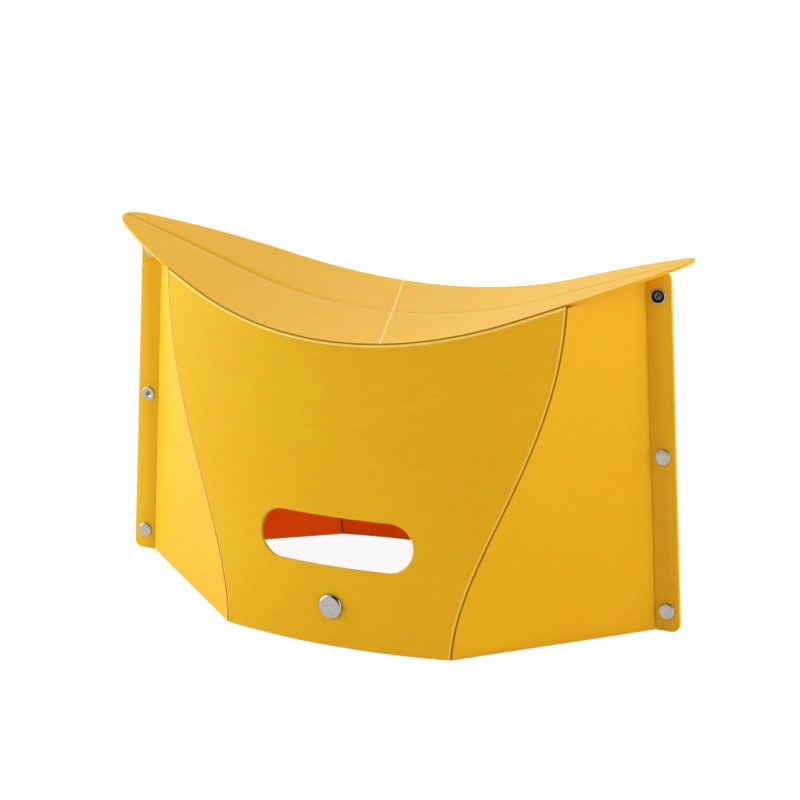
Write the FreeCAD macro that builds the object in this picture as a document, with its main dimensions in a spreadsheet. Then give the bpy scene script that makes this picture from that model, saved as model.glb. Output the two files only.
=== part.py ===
import FreeCAD, Part
import Sketcher
import math
import os
from FreeCAD import Placement, Rotation, Vector

# Folding stool of creased plastic sheet.
#
# The stool is one thick sheet, cut out flat and pressed with fold lines. It stands open here: a
# saddle seat with raised tips, a bulging centre panel front and rear, four twisted side panels,
# and at each end two flanges that are riveted back to back. A press stud low on the centre
# panels holds the stool shut when it is folded flat.
#
# Frame: Z is up, X runs along the seat, the front faces -Y. The origin is on the floor, under
# the middle of the seat. Lengths are in millimetres.
#
# Each panel between fold lines is a solid of its own, because it turns on its fold lines.

DRIVING_SIZES = [
    ("sheet_thickness", 1.9, "plastic sheet, everywhere"),
    ("crease_gap", 0.3, "open width of a fold line"),
    ("seat_height", 180.0, "top of the seat at its middle"),
    ("tip_rise", 46.5, "seat tip above the middle of the seat"),
    ("saddle_radius", 290.0, "seat profile, middle arc"),
    ("seat_half_length", 181.6, "middle to tip"),
    ("seat_half_depth", 79.4, "middle fold to front edge"),
    ("tip_radius", 19.3, "seat outline, round tip"),
    ("foot_half_width", 71.8, "centre panel at the floor"),
    ("foot_half_depth", 82.8, "corner of the centre panel at the floor, from the middle"),
    ("foot_bulge", 8.0, "bow of the centre panel at the floor"),
    ("shoulder_half_width", 124.4, "centre panel at the seat"),
    ("crease_bow", 4.7, "side fold line, bow at half height"),
    ("crease_sway", 13.8, "side fold line, swing from low to high"),
    ("crease_fade", 4.5, "side fold line, loss of bow towards its ends"),
    ("crease_bevel", 3.4, "slope inside the top edge of a centre panel"),
    ("tip_overhang", 28.6, "seat tip past the flange's fold line at tip height"),
    ("flange_splay", 15.8, "fold line of the flange, further out at the floor"),
    ("flange_width", 15.7, "flange from its fold line to its edge"),
    ("flange_foot_gap", 3.5, "flange above the floor"),
    ("flange_corner", 5.0, "corner rounding of the flange"),
    ("slot_length", 96.0, "hand slot"),
    ("slot_height", 29.0, "hand slot"),
    ("slot_centre_height", 63.0, "hand slot above the floor"),
    ("rivet_inset", 8.1, "rivet from the fold line of the flange"),
    ("rivet_low_rise", 12.9, "lowest rivet above the flange's lower edge"),
    ("rivet_top_drop", 15.4, "top rivet below the flange's outer top corner"),
    ("rivet_post_radius", 1.5, "post of a rivet"),
    ("rivet_play", 0.05, "post in its hole"),
    ("rivet_cap_radius", 4.9, "head of a rivet"),
    ("rivet_cap_rim", 0.7, "head of a rivet, at its edge"),
    ("rivet_cap_dome", 1.0, "head of a rivet, above its edge"),
    ("rivet_ring_radius", 4.5, "back of a rivet"),
    ("rivet_ring_height", 1.1, "back of a rivet"),
    ("rivet_ring_bevel", 0.5, "back of a rivet, edge bevel"),
    ("snap_centre_height", 24.9, "press stud above the floor"),
    ("snap_seat", 0.12, "play between the press stud and the bowed sheet"),
    ("snap_cap_radius", 7.5, "cap of the press stud"),
    ("snap_cap_rim", 0.9, "cap of the press stud, at its edge"),
    ("snap_cap_dome", 1.6, "cap of the press stud, above its edge"),
    ("snap_post_radius", 2.0, "post of the press stud"),
    ("snap_play", 0.06, "post of the press stud in its hole"),
    ("snap_base_radius", 6.0, "inner half of the press stud"),
    ("snap_base_height", 0.9, "inner half of the press stud"),
    ("snap_wall", 1.1, "wall of the socket"),
    ("snap_depth", 2.6, "depth of the socket"),
    ("snap_stud_radius", 4.6, "stud that enters the socket"),
    ("snap_stud_bevel", 0.7, "stud, edge bevel"),
    ("snap_dimple_radius", 2.9, "hollow in the end of the stud"),
]

# Shares that shape the sheet between its fold lines.
MITRE_SHARE = 0.4
TANGENT_STEP_SHARE = 0.001
CENTRE_COLUMN_COUNT = 17
SIDE_COLUMN_COUNT = 9
ROW_COUNT = 11

RIVET_ROWS = ("low", "middle", "top")
TURNED_RIVETS = {("left", "middle"), ("right", "top")}

UP = Vector(0, 0, 1)
RIGHT = Vector(1, 0, 0)
BACK = Vector(0, 1, 0)
ORIGIN = Vector(0, 0, 0)

doc = FreeCAD.newDocument("folding_stool")
sheet = doc.addObject("Spreadsheet::Sheet", "sizes")


def set_up_sizes():
    """Write the driving sizes and the few sizes that follow from them into the sheet."""
    row = 0
    for alias, value, note in DRIVING_SIZES:
        row += 1
        sheet.set("A%d" % row, alias)
        sheet.set("B%d" % row, str(value))
        sheet.setAlias("B%d" % row, alias)
        sheet.set("C%d" % row, note)
    followers = [
        ("tip_height", "=seat_height + tip_rise"),
        ("wing_angle", "=asin(saddle_radius / sqrt(pow(seat_half_length; 2)"
                       " + pow(saddle_radius - tip_rise; 2)))"
                       " - atan((saddle_radius - tip_rise) / seat_half_length)"),
        ("wing_slope", "=tan(wing_angle)"),
        ("seat_edge_radius", "=(pow(seat_half_length; 2) + pow(seat_half_depth; 2)"
                             " - 2 * seat_half_length * tip_radius)"
                             " / (2 * (seat_half_depth - tip_radius))"),
        ("flange_tip_reach", "=seat_half_length - tip_overhang"),
        ("flange_foot_reach", "=flange_tip_reach + flange_splay"),
        ("flange_lean", "=flange_splay / tip_height"),
        ("shoulder_half_depth", "=sqrt(pow(seat_edge_radius; 2) - pow(shoulder_half_width; 2))"
                                " - seat_edge_radius + seat_half_depth"),
        ("flange_setback", "=crease_gap + sheet_thickness * tan(atan(shoulder_half_depth"
                           " / (flange_tip_reach - shoulder_half_width)) / 2)"),
        ("flange_ceiling", "=tip_height - wing_slope * seat_half_length"
                           " - sheet_thickness / cos(wing_angle) - crease_gap"),
        ("flange_inner_top", "=(flange_ceiling + wing_slope * (flange_foot_reach + flange_setback))"
                             " / (1 + wing_slope * flange_lean)"),
        ("flange_outer_top", "=(flange_ceiling + wing_slope * (flange_foot_reach + flange_width))"
                             " / (1 + wing_slope * flange_lean)"),
        ("rivet_low_height", "=flange_foot_gap + rivet_low_rise"),
        ("rivet_pitch", "=(flange_outer_top - rivet_top_drop - rivet_low_height) / 2"),
        ("rivet_post_length", "=2 * sheet_thickness + rivet_ring_height - rivet_ring_bevel"),
        ("snap_post_length", "=sheet_thickness + 2 * snap_seat + snap_base_height"),
        ("snap_bore_radius", "=snap_stud_radius + snap_play"),
        ("rivet_hole_radius", "=rivet_post_radius + rivet_play"),
        ("snap_hole_radius", "=snap_post_radius + snap_play"),
        ("slot_end_radius", "=slot_height / 2"),
        ("cut_depth", "=seat_half_depth"),
    ]
    for alias, formula in followers:
        row += 1
        sheet.set("A%d" % row, alias)
        sheet.set("B%d" % row, formula)
        sheet.setAlias("B%d" % row, alias)
    doc.recompute()


def size(alias):
    """A size of the sheet as a plain number of millimetres."""
    value = sheet.get(alias)
    return float(getattr(value, "Value", value))


set_up_sizes()
THICKNESS = size("sheet_thickness")
GAP = size("crease_gap")
WING_ANGLE = math.radians(size("wing_angle"))


# Seat

def seat_surface_height(x, depth=0.0):
    """Height of the seat above the floor at x, a given depth below its top surface."""
    radius = size("saddle_radius") + depth
    arc_end = radius * math.sin(WING_ANGLE)
    centre = size("seat_height") + size("saddle_radius")
    if abs(x) <= arc_end:
        return centre - math.sqrt(radius * radius - x * x)
    arc_end_height = centre - radius * math.cos(WING_ANGLE)
    return arc_end_height + (abs(x) - arc_end) * math.tan(WING_ANGLE)


def seat_edge_depth(x):
    """Half depth of the seat at x, on the long arc of its outline."""
    radius = size("seat_edge_radius")
    return math.sqrt(radius * radius - x * x) - (radius - size("seat_half_depth"))


def seat_profile_face():
    """Side view of the seat: an arc with a straight wing at each end, one sheet thick."""
    reach = size("seat_half_length") + size("flange_width")

    def arc(depth):
        radius = size("saddle_radius") + depth
        end = Vector(radius * math.sin(WING_ANGLE), 0, 0)
        end.z = seat_surface_height(end.x, depth)
        start = Vector(-end.x, 0, end.z)
        middle = Vector(0, 0, seat_surface_height(0, depth))
        return start, Part.Arc(start, middle, end).toShape(), end

    top_start, top_arc, top_end = arc(0)
    low_start, low_arc, low_end = arc(THICKNESS)
    top_right = Vector(reach, 0, seat_surface_height(reach))
    low_right = Vector(reach, 0, seat_surface_height(reach, THICKNESS))
    top_left = Vector(-reach, 0, top_right.z)
    low_left = Vector(-reach, 0, low_right.z)
    edges = [
        Part.makeLine(top_left, top_start), top_arc, Part.makeLine(top_end, top_right),
        Part.makeLine(top_right, low_right), Part.makeLine(low_right, low_end), low_arc,
        Part.makeLine(low_start, low_left), Part.makeLine(low_left, top_left),
    ]
    return Part.Face(Part.Wire(Part.__sortEdges__(edges)))


def seat_outline_face():
    """Plan of the front half of the seat: one long arc, a round tip at each end."""
    radius = size("seat_edge_radius")
    length = size("seat_half_length")
    drop = radius - size("seat_half_depth")
    tip_radius = size("tip_radius")
    tip_centre = length - tip_radius
    share = radius / (radius - tip_radius)
    join = Vector(tip_centre * share, -(drop * share - drop), 0)
    half_gap = GAP / 2
    tip_end = Vector(tip_centre + math.sqrt(tip_radius ** 2 - half_gap ** 2), -half_gap, 0)
    join_angle = math.atan2(join.y, join.x - tip_centre)
    middle = Vector(tip_centre + tip_radius * math.cos(join_angle / 2),
                    tip_radius * math.sin(join_angle / 2), 0)

    def other_end(point):
        return Vector(-point.x, point.y, point.z)

    edges = [
        Part.Arc(other_end(join), Vector(0, -size("seat_half_depth"), 0), join).toShape(),
        Part.Arc(join, middle, tip_end).toShape(),
        Part.makeLine(tip_end, other_end(tip_end)),
        Part.Arc(other_end(tip_end), other_end(middle), other_end(join)).toShape(),
    ]
    return Part.Face(Part.Wire(Part.__sortEdges__(edges)))


def seat_half_shape():
    """Front half of the seat: the profile along Y, cut to the outline."""
    band = seat_profile_face().extrude(Vector(0, -size("seat_half_depth") - GAP, 0))
    prism = seat_outline_face().extrude(UP * (size("tip_height") + size("tip_rise")))
    return band.common(prism).removeSplitter()


# Sheet panels between the seat and the floor

def side_crease(height):
    """Point of the right front side fold line at a height: a straight line with an S in it."""
    full = seat_surface_height(size("shoulder_half_width"))
    share = height / full
    swing = 2 * share - 1
    bow = size("crease_bow") + size("crease_sway") * swing - size("crease_fade") * swing * swing
    offset = 4 * share * (1 - share) * bow
    foot = Vector(size("foot_half_width"), -size("foot_half_depth"), 0)
    shoulder = Vector(size("shoulder_half_width"), -seat_edge_depth(size("shoulder_half_width")), 0)
    # The line bows along the mean direction of the two panels that it joins.
    to_flange = Vector(size("flange_foot_reach"), 0, 0) - foot
    lean = to_flange.normalize() + RIGHT
    point = foot + (shoulder - foot) * share + lean.normalize() * offset
    return Vector(point.x, point.y, height)


def panel_ceiling(x):
    """Height of a panel's top edge: one crease gap under the seat."""
    return seat_surface_height(x, THICKNESS) - GAP


def centre_panel_point(across, up):
    """Outer face of the front centre panel: the patch that its four edges span."""
    shoulder = size("shoulder_half_width")
    foot = size("foot_half_width")

    def low(share):
        x = foot * (2 * share - 1)
        bow = size("foot_bulge") * (1 - (2 * share - 1) ** 2)
        return Vector(x, -size("foot_half_depth") - bow, 0)

    def high(share):
        x = shoulder * (2 * share - 1)
        return Vector(x, -seat_edge_depth(x), panel_ceiling(x))

    right = side_crease(panel_ceiling(shoulder) * up)
    left = Vector(-right.x, right.y, right.z)
    between_ends = low(across) * (1 - up) + high(across) * up
    between_sides = left * (1 - across) + right * across
    corners = (low(0) * ((1 - across) * (1 - up)) + low(1) * (across * (1 - up))
               + high(0) * ((1 - across) * up) + high(1) * (across * up))
    return between_ends + between_sides - corners


def flange_crease(height):
    """Point of the right flange's fold line at a height, in the middle plane."""
    return Vector(size("flange_foot_reach") - size("flange_lean") * height, 0, height)


def side_panel_point(across, up):
    """Outer face of the right front side panel, from the side fold line to the flange."""
    shoulder = size("shoulder_half_width")
    foot_gap = size("flange_foot_gap")
    near = side_crease(panel_ceiling(shoulder) * up)
    far_ceiling = panel_ceiling(flange_crease(size("tip_height")).x)
    far = flange_crease(foot_gap * (1 - up) + far_ceiling * up)
    bottom = foot_gap * across
    ceiling = panel_ceiling(shoulder * (1 - across) + far.x * across)
    height = bottom * (1 - up) + ceiling * up
    bend = math.atan2(-near.y, far.x - near.x)
    far_edge = far + Vector(THICKNESS * math.tan(bend / 2), -THICKNESS, 0)
    point = near * (1 - across) + far_edge * across
    return Vector(point.x, point.y, height)


def inward(surface, across, up):
    """Unit normal of a surface that points into the stool."""
    step = TANGENT_STEP_SHARE
    along = surface(across + step, up) - surface(across - step, up)
    rise = surface(across, up + step) - surface(across, up - step)
    return rise.cross(along).normalize()


def edge_face(near, far):
    """Face between an edge of the outer skin and the same edge of the inner skin. It is a plane
    where the sheet stands on the floor."""
    if Part.makeCompound([near, far]).BoundBox.ZMax > GAP / 2:
        return Part.makeRuledSurface(near, far)
    ends = [Part.makeLine(near.Vertexes[k].Point, far.Vertexes[k].Point) for k in (0, 1)]
    return Part.Face(Part.Wire(Part.__sortEdges__([near, far] + ends)))


def sheet_solid(surface, width, column_count, outer_insets, inner_insets, inner_drop):
    """Solid sheet behind a surface, its foot edge level. Insets shorten its left and right edges,
    in millimetres."""
    def grid(insets, drop, depth):
        points = []
        for i in range(column_count):
            column = []
            for j in range(ROW_COUNT):
                up = j / (ROW_COUNT - 1) * (1 - drop)
                full = width(up)
                start = insets[0] / full
                end = 1 - insets[1] / full
                across = start + (end - start) * i / (column_count - 1)
                point = surface(across, up)
                foot_height = point.z
                point = point + inward(surface, across, up) * depth
                if j == 0:
                    point.z = foot_height
                column.append(point)
            points.append(column)
        return points

    faces = []
    skins = []
    for insets, drop, depth in ((outer_insets, 0, 0), (inner_insets, inner_drop, THICKNESS)):
        skin = Part.BSplineSurface()
        skin.interpolate(grid(insets, drop, depth))
        skins.append(skin)
        faces.append(skin.toShape())
    outer, inner = skins
    first_u, last_u, first_v, last_v = outer.bounds()
    for pick, values in (("uIso", (first_u, last_u)), ("vIso", (first_v, last_v))):
        for value in values:
            near = getattr(outer, pick)(value).toShape()
            far = getattr(inner, pick)(value).toShape()
            faces.append(edge_face(near, far))
    shell = Part.makeShell(faces)
    shell.sewShape()
    solid = Part.makeSolid(Part.Shell(shell.Faces))
    if solid.Volume < 0:
        solid.reverse()
    return solid


def centre_panel_shape():
    """Front centre panel before its holes are cut."""
    def width(up):
        right = side_crease(panel_ceiling(size("shoulder_half_width")) * up)
        return 2 * right.x
    mitred = GAP / 2 + MITRE_SHARE * THICKNESS
    drop = size("crease_bevel") / size("seat_height")
    return sheet_solid(centre_panel_point, width, CENTRE_COLUMN_COUNT,
                       (GAP / 2, GAP / 2), (mitred, mitred), drop)


def side_panel_shape():
    """Right front side panel."""
    def width(up):
        return (side_panel_point(1, up) - side_panel_point(0, up)).Length
    mitred = GAP / 2 + MITRE_SHARE * THICKNESS
    drop = THICKNESS / 2 / size("seat_height")
    return sheet_solid(side_panel_point, width, SIDE_COLUMN_COUNT,
                       (GAP / 2, GAP / 2), (mitred, GAP / 2), drop)


# Building blocks

def feature(label, shape):
    """Sub-part whose shape is a free surface, which no primitive gives."""
    item = doc.addObject("Part::Feature", label)
    item.Label = label
    item.Shape = shape
    item.Placement = Placement()
    return item


def mirrored(label, source, normal):
    """Copy of a sub-part, mirrored in a plane through the origin."""
    item = doc.addObject("Part::Mirroring", label)
    item.Label = label
    item.Source = source
    item.Base = ORIGIN
    item.Normal = normal
    return item


def bind(item, **expressions):
    """Bind properties of an object to expressions on the sizes."""
    for name, expression in expressions.items():
        item.setExpression(name.replace("__", "."), expression)


def slot_tool():
    """Stadium that cuts the hand slot, through the front sheet along Y."""
    depth = "sizes.cut_depth"
    start = "-sizes.foot_half_depth - sizes.foot_bulge - sizes.flange_width"
    bar = doc.addObject("Part::Box", "slot_bar")
    bind(bar, Length="sizes.slot_length - sizes.slot_height", Width=depth, Height="sizes.slot_height",
         Placement__Base__x="-(sizes.slot_length - sizes.slot_height) / 2", Placement__Base__y=start,
         Placement__Base__z="sizes.slot_centre_height - sizes.slot_end_radius")
    pieces = [bar]
    for side, sign in (("left", "-"), ("right", "")):
        end = doc.addObject("Part::Cylinder", "slot_end_" + side)
        end.Placement = Placement(ORIGIN, Rotation(UP, BACK))
        bind(end, Radius="sizes.slot_end_radius", Height=depth,
             Placement__Base__x=sign + "(sizes.slot_length - sizes.slot_height) / 2",
             Placement__Base__y=start, Placement__Base__z="sizes.slot_centre_height")
        pieces.append(end)
    tool = doc.addObject("Part::MultiFuse", "slot_tool")
    tool.Shapes = pieces
    return tool


def snap_placement():
    """Place on the front panel's outer face where the press stud sits, its Z pointing outwards."""
    up = size("snap_centre_height") / panel_ceiling(0)
    normal = inward(centre_panel_point, 0.5, up)
    return Placement(centre_panel_point(0.5, up), Rotation(UP, normal * -1))


def snap_hole_tool(place):
    """Round cutter for the press stud's post."""
    tool = doc.addObject("Part::Cylinder", "snap_hole_tool")
    bind(tool, Radius="sizes.snap_hole_radius", Height="sizes.sheet_thickness * 4")
    tool.Placement = place.multiply(Placement(Vector(0, 0, -2 * THICKNESS), Rotation()))
    return tool


def build_centre_panels(place):
    """Front centre panel with its hand slot and stud hole, and the rear one like it."""
    blank = feature("centre_panel_blank", centre_panel_shape())
    cutters = doc.addObject("Part::MultiFuse", "centre_panel_cutters")
    cutters.Shapes = [slot_tool(), snap_hole_tool(place)]
    front = doc.addObject("Part::Cut", "front_centre_panel")
    front.Base = blank
    front.Tool = cutters
    return [front, mirrored("rear_centre_panel", front, BACK)]


def build_side_panels():
    """Four side panels, mirrored from the right front one."""
    right_front = feature("front_right_side_panel", side_panel_shape())
    left_front = mirrored("front_left_side_panel", right_front, RIGHT)
    return [right_front, left_front, mirrored("rear_right_side_panel", right_front, BACK),
            mirrored("rear_left_side_panel", left_front, BACK)]


def build_seat():
    """Front and rear halves of the seat."""
    front = feature("seat_front_half", seat_half_shape())
    return [front, mirrored("seat_rear_half", front, BACK)]


def new_body(label):
    body = doc.addObject("PartDesign::Body", label)
    body.Label = label
    return body


def new_sketch(body, name):
    """Sketch on the body's own XZ plane."""
    sketch = body.newObject("Sketcher::SketchObject", name)
    plane = [item for item in body.Origin.OriginFeatures if item.Role == "XZ_Plane"][0]
    sketch.AttachmentSupport = [(plane, "")]
    sketch.MapMode = "FlatFace"
    return sketch


def pin(sketch, index, corner, across, up):
    """Hold a point of a sketch at two expressions on the sizes. None holds it on the axis."""
    for kind, expression, axis in (("DistanceX", across, -2), ("DistanceY", up, -1)):
        if expression is None:
            sketch.addConstraint(Sketcher.Constraint("PointOnObject", index, corner, axis))
            continue
        spot = sketch.getPoint(index, corner)
        value = spot.x if kind == "DistanceX" else spot.y
        number = sketch.addConstraint(Sketcher.Constraint(kind, -1, 1, index, corner, value))
        sketch.setExpression("Constraints[%d]" % number, expression)


def spot_of(sketch, corner):
    """Where a corner given as two expressions lies now."""
    numbers = []
    for expression in corner:
        value = 0 if expression is None else sketch.evalExpression(expression)
        numbers.append(float(getattr(value, "Value", value)))
    return Vector(numbers[0], numbers[1], 0)


def draw_outline(sketch, corners, domed=False):
    """Closed outline through the corners. If it is domed, the edge that reaches the last corner
    is an arc about the sketch's upright axis."""
    spots = [spot_of(sketch, corner) for corner in corners]
    count = len(corners)
    dome = count - 2
    for index in range(count):
        start, end = spots[index], spots[(index + 1) % count]
        if not (domed and index == dome):
            sketch.addGeometry(Part.LineSegment(start, end), False)
            continue
        rise = end.y - start.y
        radius = (start.x ** 2 + rise ** 2) / (2 * rise)
        centre = Vector(0, end.y - radius, 0)
        first = math.atan2(start.y - centre.y, start.x)
        arc = Part.ArcOfCircle(Part.Circle(centre, UP, radius), first, math.pi / 2)
        sketch.addGeometry(arc, False)
    for index in range(count):
        following = (index + 1) % count
        sketch.addConstraint(Sketcher.Constraint("Coincident", index, 2, following, 1))
    for index, corner in enumerate(corners):
        pin(sketch, index, 1, corner[0], corner[1])
    if domed:
        sketch.addConstraint(Sketcher.Constraint("PointOnObject", dome, 3, -2))


def draw_circle(sketch, across, up, radius):
    centre = spot_of(sketch, (across, up))
    span = spot_of(sketch, (radius, None)).x
    index = sketch.addGeometry(Part.Circle(centre, UP, span), False)
    pin(sketch, index, 3, across, up)
    number = sketch.addConstraint(Sketcher.Constraint("Radius", index, span))
    sketch.setExpression("Constraints[%d]" % number, radius)


def turned(label, corners, domed=False):
    """Turned piece: its half outline goes once round the body's Z axis."""
    body = new_body(label)
    sketch = new_sketch(body, label + "_outline")
    draw_outline(sketch, corners, domed)
    turn = body.newObject("PartDesign::Revolution", label + "_turn")
    turn.Profile = sketch
    turn.ReferenceAxis = (sketch, ["V_Axis"])
    turn.Angle = 360
    return body


# Flanges and their rivets

def rivet_height(row):
    """Height of a rivet, as an expression."""
    steps = RIVET_ROWS.index(row)
    return "sizes.rivet_low_height + %d * sizes.rivet_pitch" % steps


def rivet_reach(row):
    """Distance of a rivet from the middle of the stool, as an expression."""
    return ("sizes.flange_foot_reach - sizes.flange_lean * (" + rivet_height(row)
            + ") + sizes.rivet_inset")


def build_flanges():
    """Four flanges, mirrored from the right front one, which is a plate with three holes."""
    body = new_body("front_right_flange")
    outline = new_sketch(body, "flange_outline")
    inner = "sizes.flange_foot_reach + sizes.flange_setback - sizes.flange_lean * "
    outer = "sizes.flange_foot_reach + sizes.flange_width - sizes.flange_lean * "
    draw_outline(outline, [
        (inner + "sizes.flange_foot_gap", "sizes.flange_foot_gap"),
        (outer + "sizes.flange_foot_gap", "sizes.flange_foot_gap"),
        (outer + "sizes.flange_outer_top", "sizes.flange_outer_top"),
        (inner + "sizes.flange_inner_top", "sizes.flange_inner_top"),
    ])
    plate = body.newObject("PartDesign::Pad", "flange_plate")
    plate.Profile = outline
    plate.setExpression("Length", "sizes.sheet_thickness")
    doc.recompute()
    corners = []
    for number, edge in enumerate(plate.Shape.Edges, start=1):
        ends = [point.Point for point in edge.Vertexes]
        across_sheet = abs(ends[0].y - ends[1].y) > size("sheet_thickness") / 2
        if across_sheet and is_outer_corner(ends[0]):
            corners.append("Edge%d" % number)
    rounding = body.newObject("PartDesign::Fillet", "flange_rounding")
    rounding.Base = (plate, corners)
    rounding.setExpression("Radius", "sizes.flange_corner")
    holes = new_sketch(body, "flange_hole_plan")
    for row in RIVET_ROWS:
        draw_circle(holes, rivet_reach(row), rivet_height(row), "sizes.rivet_hole_radius")
    pocket = body.newObject("PartDesign::Pocket", "flange_holes")
    pocket.Profile = holes
    pocket.Type = "ThroughAll"
    pocket.Reversed = True
    doc.recompute()
    left_front = mirrored("front_left_flange", body, RIGHT)
    return [body, left_front, mirrored("rear_right_flange", body, BACK),
            mirrored("rear_left_flange", left_front, BACK)]


def is_outer_corner(point):
    """True where a corner of the right flange's plate is on its free edge."""
    crease = flange_crease(point.z).x
    return point.x - crease > size("flange_width") / 2


def cap_corners(family):
    """Half outline of a domed cap on its post. The post's end is at the origin."""
    under = "sizes." + family + "_post_length"
    edge = under + " + sizes." + family + "_cap_rim"
    return [
        (None, None),
        ("sizes." + family + "_post_radius", None),
        ("sizes." + family + "_post_radius", under),
        ("sizes." + family + "_cap_radius", under),
        ("sizes." + family + "_cap_radius", edge),
        (None, edge + " + sizes." + family + "_cap_dome"),
    ]


def build_rivet(name, reach, height, turned_round):
    """A domed cap on a post, and the ring that the post's end is set in. The cap is in front,
    unless the rivet is turned round."""
    bore = "sizes.rivet_hole_radius"
    rim = "sizes.rivet_ring_height - sizes.rivet_ring_bevel"
    ring_corners = [
        (bore, None),
        ("sizes.rivet_ring_radius", None),
        ("sizes.rivet_ring_radius", rim),
        ("sizes.rivet_ring_radius - sizes.rivet_ring_bevel", "sizes.rivet_ring_height"),
        (bore + " + sizes.rivet_ring_bevel", "sizes.rivet_ring_height"),
        (bore, rim),
    ]
    cap = turned(name + "_cap", cap_corners("rivet"), domed=True)
    ring = turned(name + "_ring", ring_corners)
    sign = "-" if turned_round else ""
    to_rear = BACK * -1 if turned_round else BACK
    for piece, outward, depth in (
            (cap, to_rear * -1, "(sizes.rivet_post_length - sizes.sheet_thickness)"),
            (ring, to_rear, "sizes.sheet_thickness")):
        piece.Placement = Placement(ORIGIN, Rotation(UP, outward))
        bind(piece, Placement__Base__x=reach, Placement__Base__y=sign + depth,
             Placement__Base__z=height)
    return [cap, ring]


def build_rivets():
    """Three rivets in a row at each end of the stool."""
    made = []
    for side, sign in (("left", "-"), ("right", "")):
        for row in RIVET_ROWS:
            reach = sign + "(" + rivet_reach(row) + ")"
            made += build_rivet(side + "_" + row + "_rivet", reach, rivet_height(row),
                                (side, row) in TURNED_RIVETS)
    return made


# Press stud

def build_press_stud(front_place):
    """Outer caps front and rear, with the socket inside the front panel and the stud inside the
    rear one."""
    hole = "sizes.snap_hole_radius"
    base_edge = "sizes.snap_base_radius"
    base = "sizes.snap_base_height"
    end = base + " + sizes.snap_depth"
    bore = "sizes.snap_bore_radius"
    wall = bore + " + sizes.snap_wall"
    stud = "sizes.snap_stud_radius"
    bevel = "sizes.snap_stud_bevel"
    dimple = "sizes.snap_dimple_radius"
    cap = cap_corners("snap")
    socket = [(hole, None), (base_edge, None), (base_edge, base), (wall, base), (wall, end),
              (bore, end), (bore, base), (hole, base)]
    plug = [(hole, None), (base_edge, None), (base_edge, base), (stud, base),
            (stud, end + " - " + bevel), (stud + " - " + bevel, end), (dimple, end),
            (dimple, base), (hole, base)]
    outward = front_place.Rotation.multVec(UP)
    spot = front_place.Base
    rear_place = Placement(Vector(spot.x, -spot.y, spot.z),
                           Rotation(UP, Vector(outward.x, -outward.y, outward.z)))
    cap_shift = Vector(0, 0, size("snap_seat") - size("snap_post_length"))
    inner_shift = Vector(0, 0, -THICKNESS - size("snap_seat"))
    turn_over = Rotation(RIGHT, 180)
    made = []
    for label, corners, place, domed in (
            ("front_snap_cap", cap, front_place, True),
            ("front_snap_socket", socket, front_place, False),
            ("rear_snap_cap", cap, rear_place, True),
            ("rear_snap_stud", plug, rear_place, False)):
        piece = turned(label, corners, domed)
        on_panel = Placement(cap_shift, Rotation()) if domed else Placement(inner_shift, turn_over)
        piece.Placement = place.multiply(on_panel)
        made.append(piece)
    return made


def check_and_write(pieces):
    """Check every object and sub-part, then write one file for each sub-part."""
    doc.recompute()
    for item in doc.Objects:
        for word in ("Invalid", "Error"):
            if word in item.State:
                raise RuntimeError(item.Label + " is " + word)
    os.makedirs("parts", exist_ok=True)
    for piece in pieces:
        shape = piece.Shape
        if shape.isNull() or not shape.isValid() or len(shape.Solids) != 1:
            raise RuntimeError(piece.Label + " has no single valid solid")
        shape.exportStep("parts/" + piece.Label + ".step")
        print("%-26s %10.1f mm3" % (piece.Label, shape.Volume))


snap_place = snap_placement()
sub_parts = (build_seat() + build_centre_panels(snap_place) + build_side_panels()
             + build_flanges() + build_rivets() + build_press_stud(snap_place))
check_and_write(sub_parts)
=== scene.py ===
import math

import bmesh
import bpy
from bpy.props import FloatProperty, FloatVectorProperty, PointerProperty
from mathutils import Matrix, Vector


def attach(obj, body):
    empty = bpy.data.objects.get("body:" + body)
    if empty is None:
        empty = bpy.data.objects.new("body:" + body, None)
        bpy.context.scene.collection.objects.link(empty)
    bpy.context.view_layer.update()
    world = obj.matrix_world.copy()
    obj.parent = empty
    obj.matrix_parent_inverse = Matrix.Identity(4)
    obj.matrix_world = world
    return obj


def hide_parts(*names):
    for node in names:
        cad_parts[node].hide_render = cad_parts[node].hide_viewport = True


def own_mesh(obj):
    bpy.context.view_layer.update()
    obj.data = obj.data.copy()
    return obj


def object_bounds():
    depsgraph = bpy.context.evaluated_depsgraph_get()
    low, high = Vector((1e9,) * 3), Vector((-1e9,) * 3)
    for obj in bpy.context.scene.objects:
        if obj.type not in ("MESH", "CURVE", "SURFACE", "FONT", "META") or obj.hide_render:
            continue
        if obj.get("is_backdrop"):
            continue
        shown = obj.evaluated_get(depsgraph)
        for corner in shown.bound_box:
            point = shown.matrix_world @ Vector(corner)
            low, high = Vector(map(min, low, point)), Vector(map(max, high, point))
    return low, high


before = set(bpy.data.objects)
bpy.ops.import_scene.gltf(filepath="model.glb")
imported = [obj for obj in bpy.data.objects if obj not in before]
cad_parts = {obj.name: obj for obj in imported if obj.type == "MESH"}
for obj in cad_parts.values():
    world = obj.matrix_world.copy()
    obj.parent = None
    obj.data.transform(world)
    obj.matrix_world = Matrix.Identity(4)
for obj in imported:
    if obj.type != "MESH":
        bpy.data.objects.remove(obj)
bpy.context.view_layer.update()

bl_info = {
    "name": "Folding stool of creased sheet",
    "version": (1, 0, 0),
    "blender": (4, 5, 0),
    "location": "3D View > Sidebar > Stool",
    "description": "Dresses the sheet, fold lines, rivets and press stud of a folding stool",
    "category": "Object",
}

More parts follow.
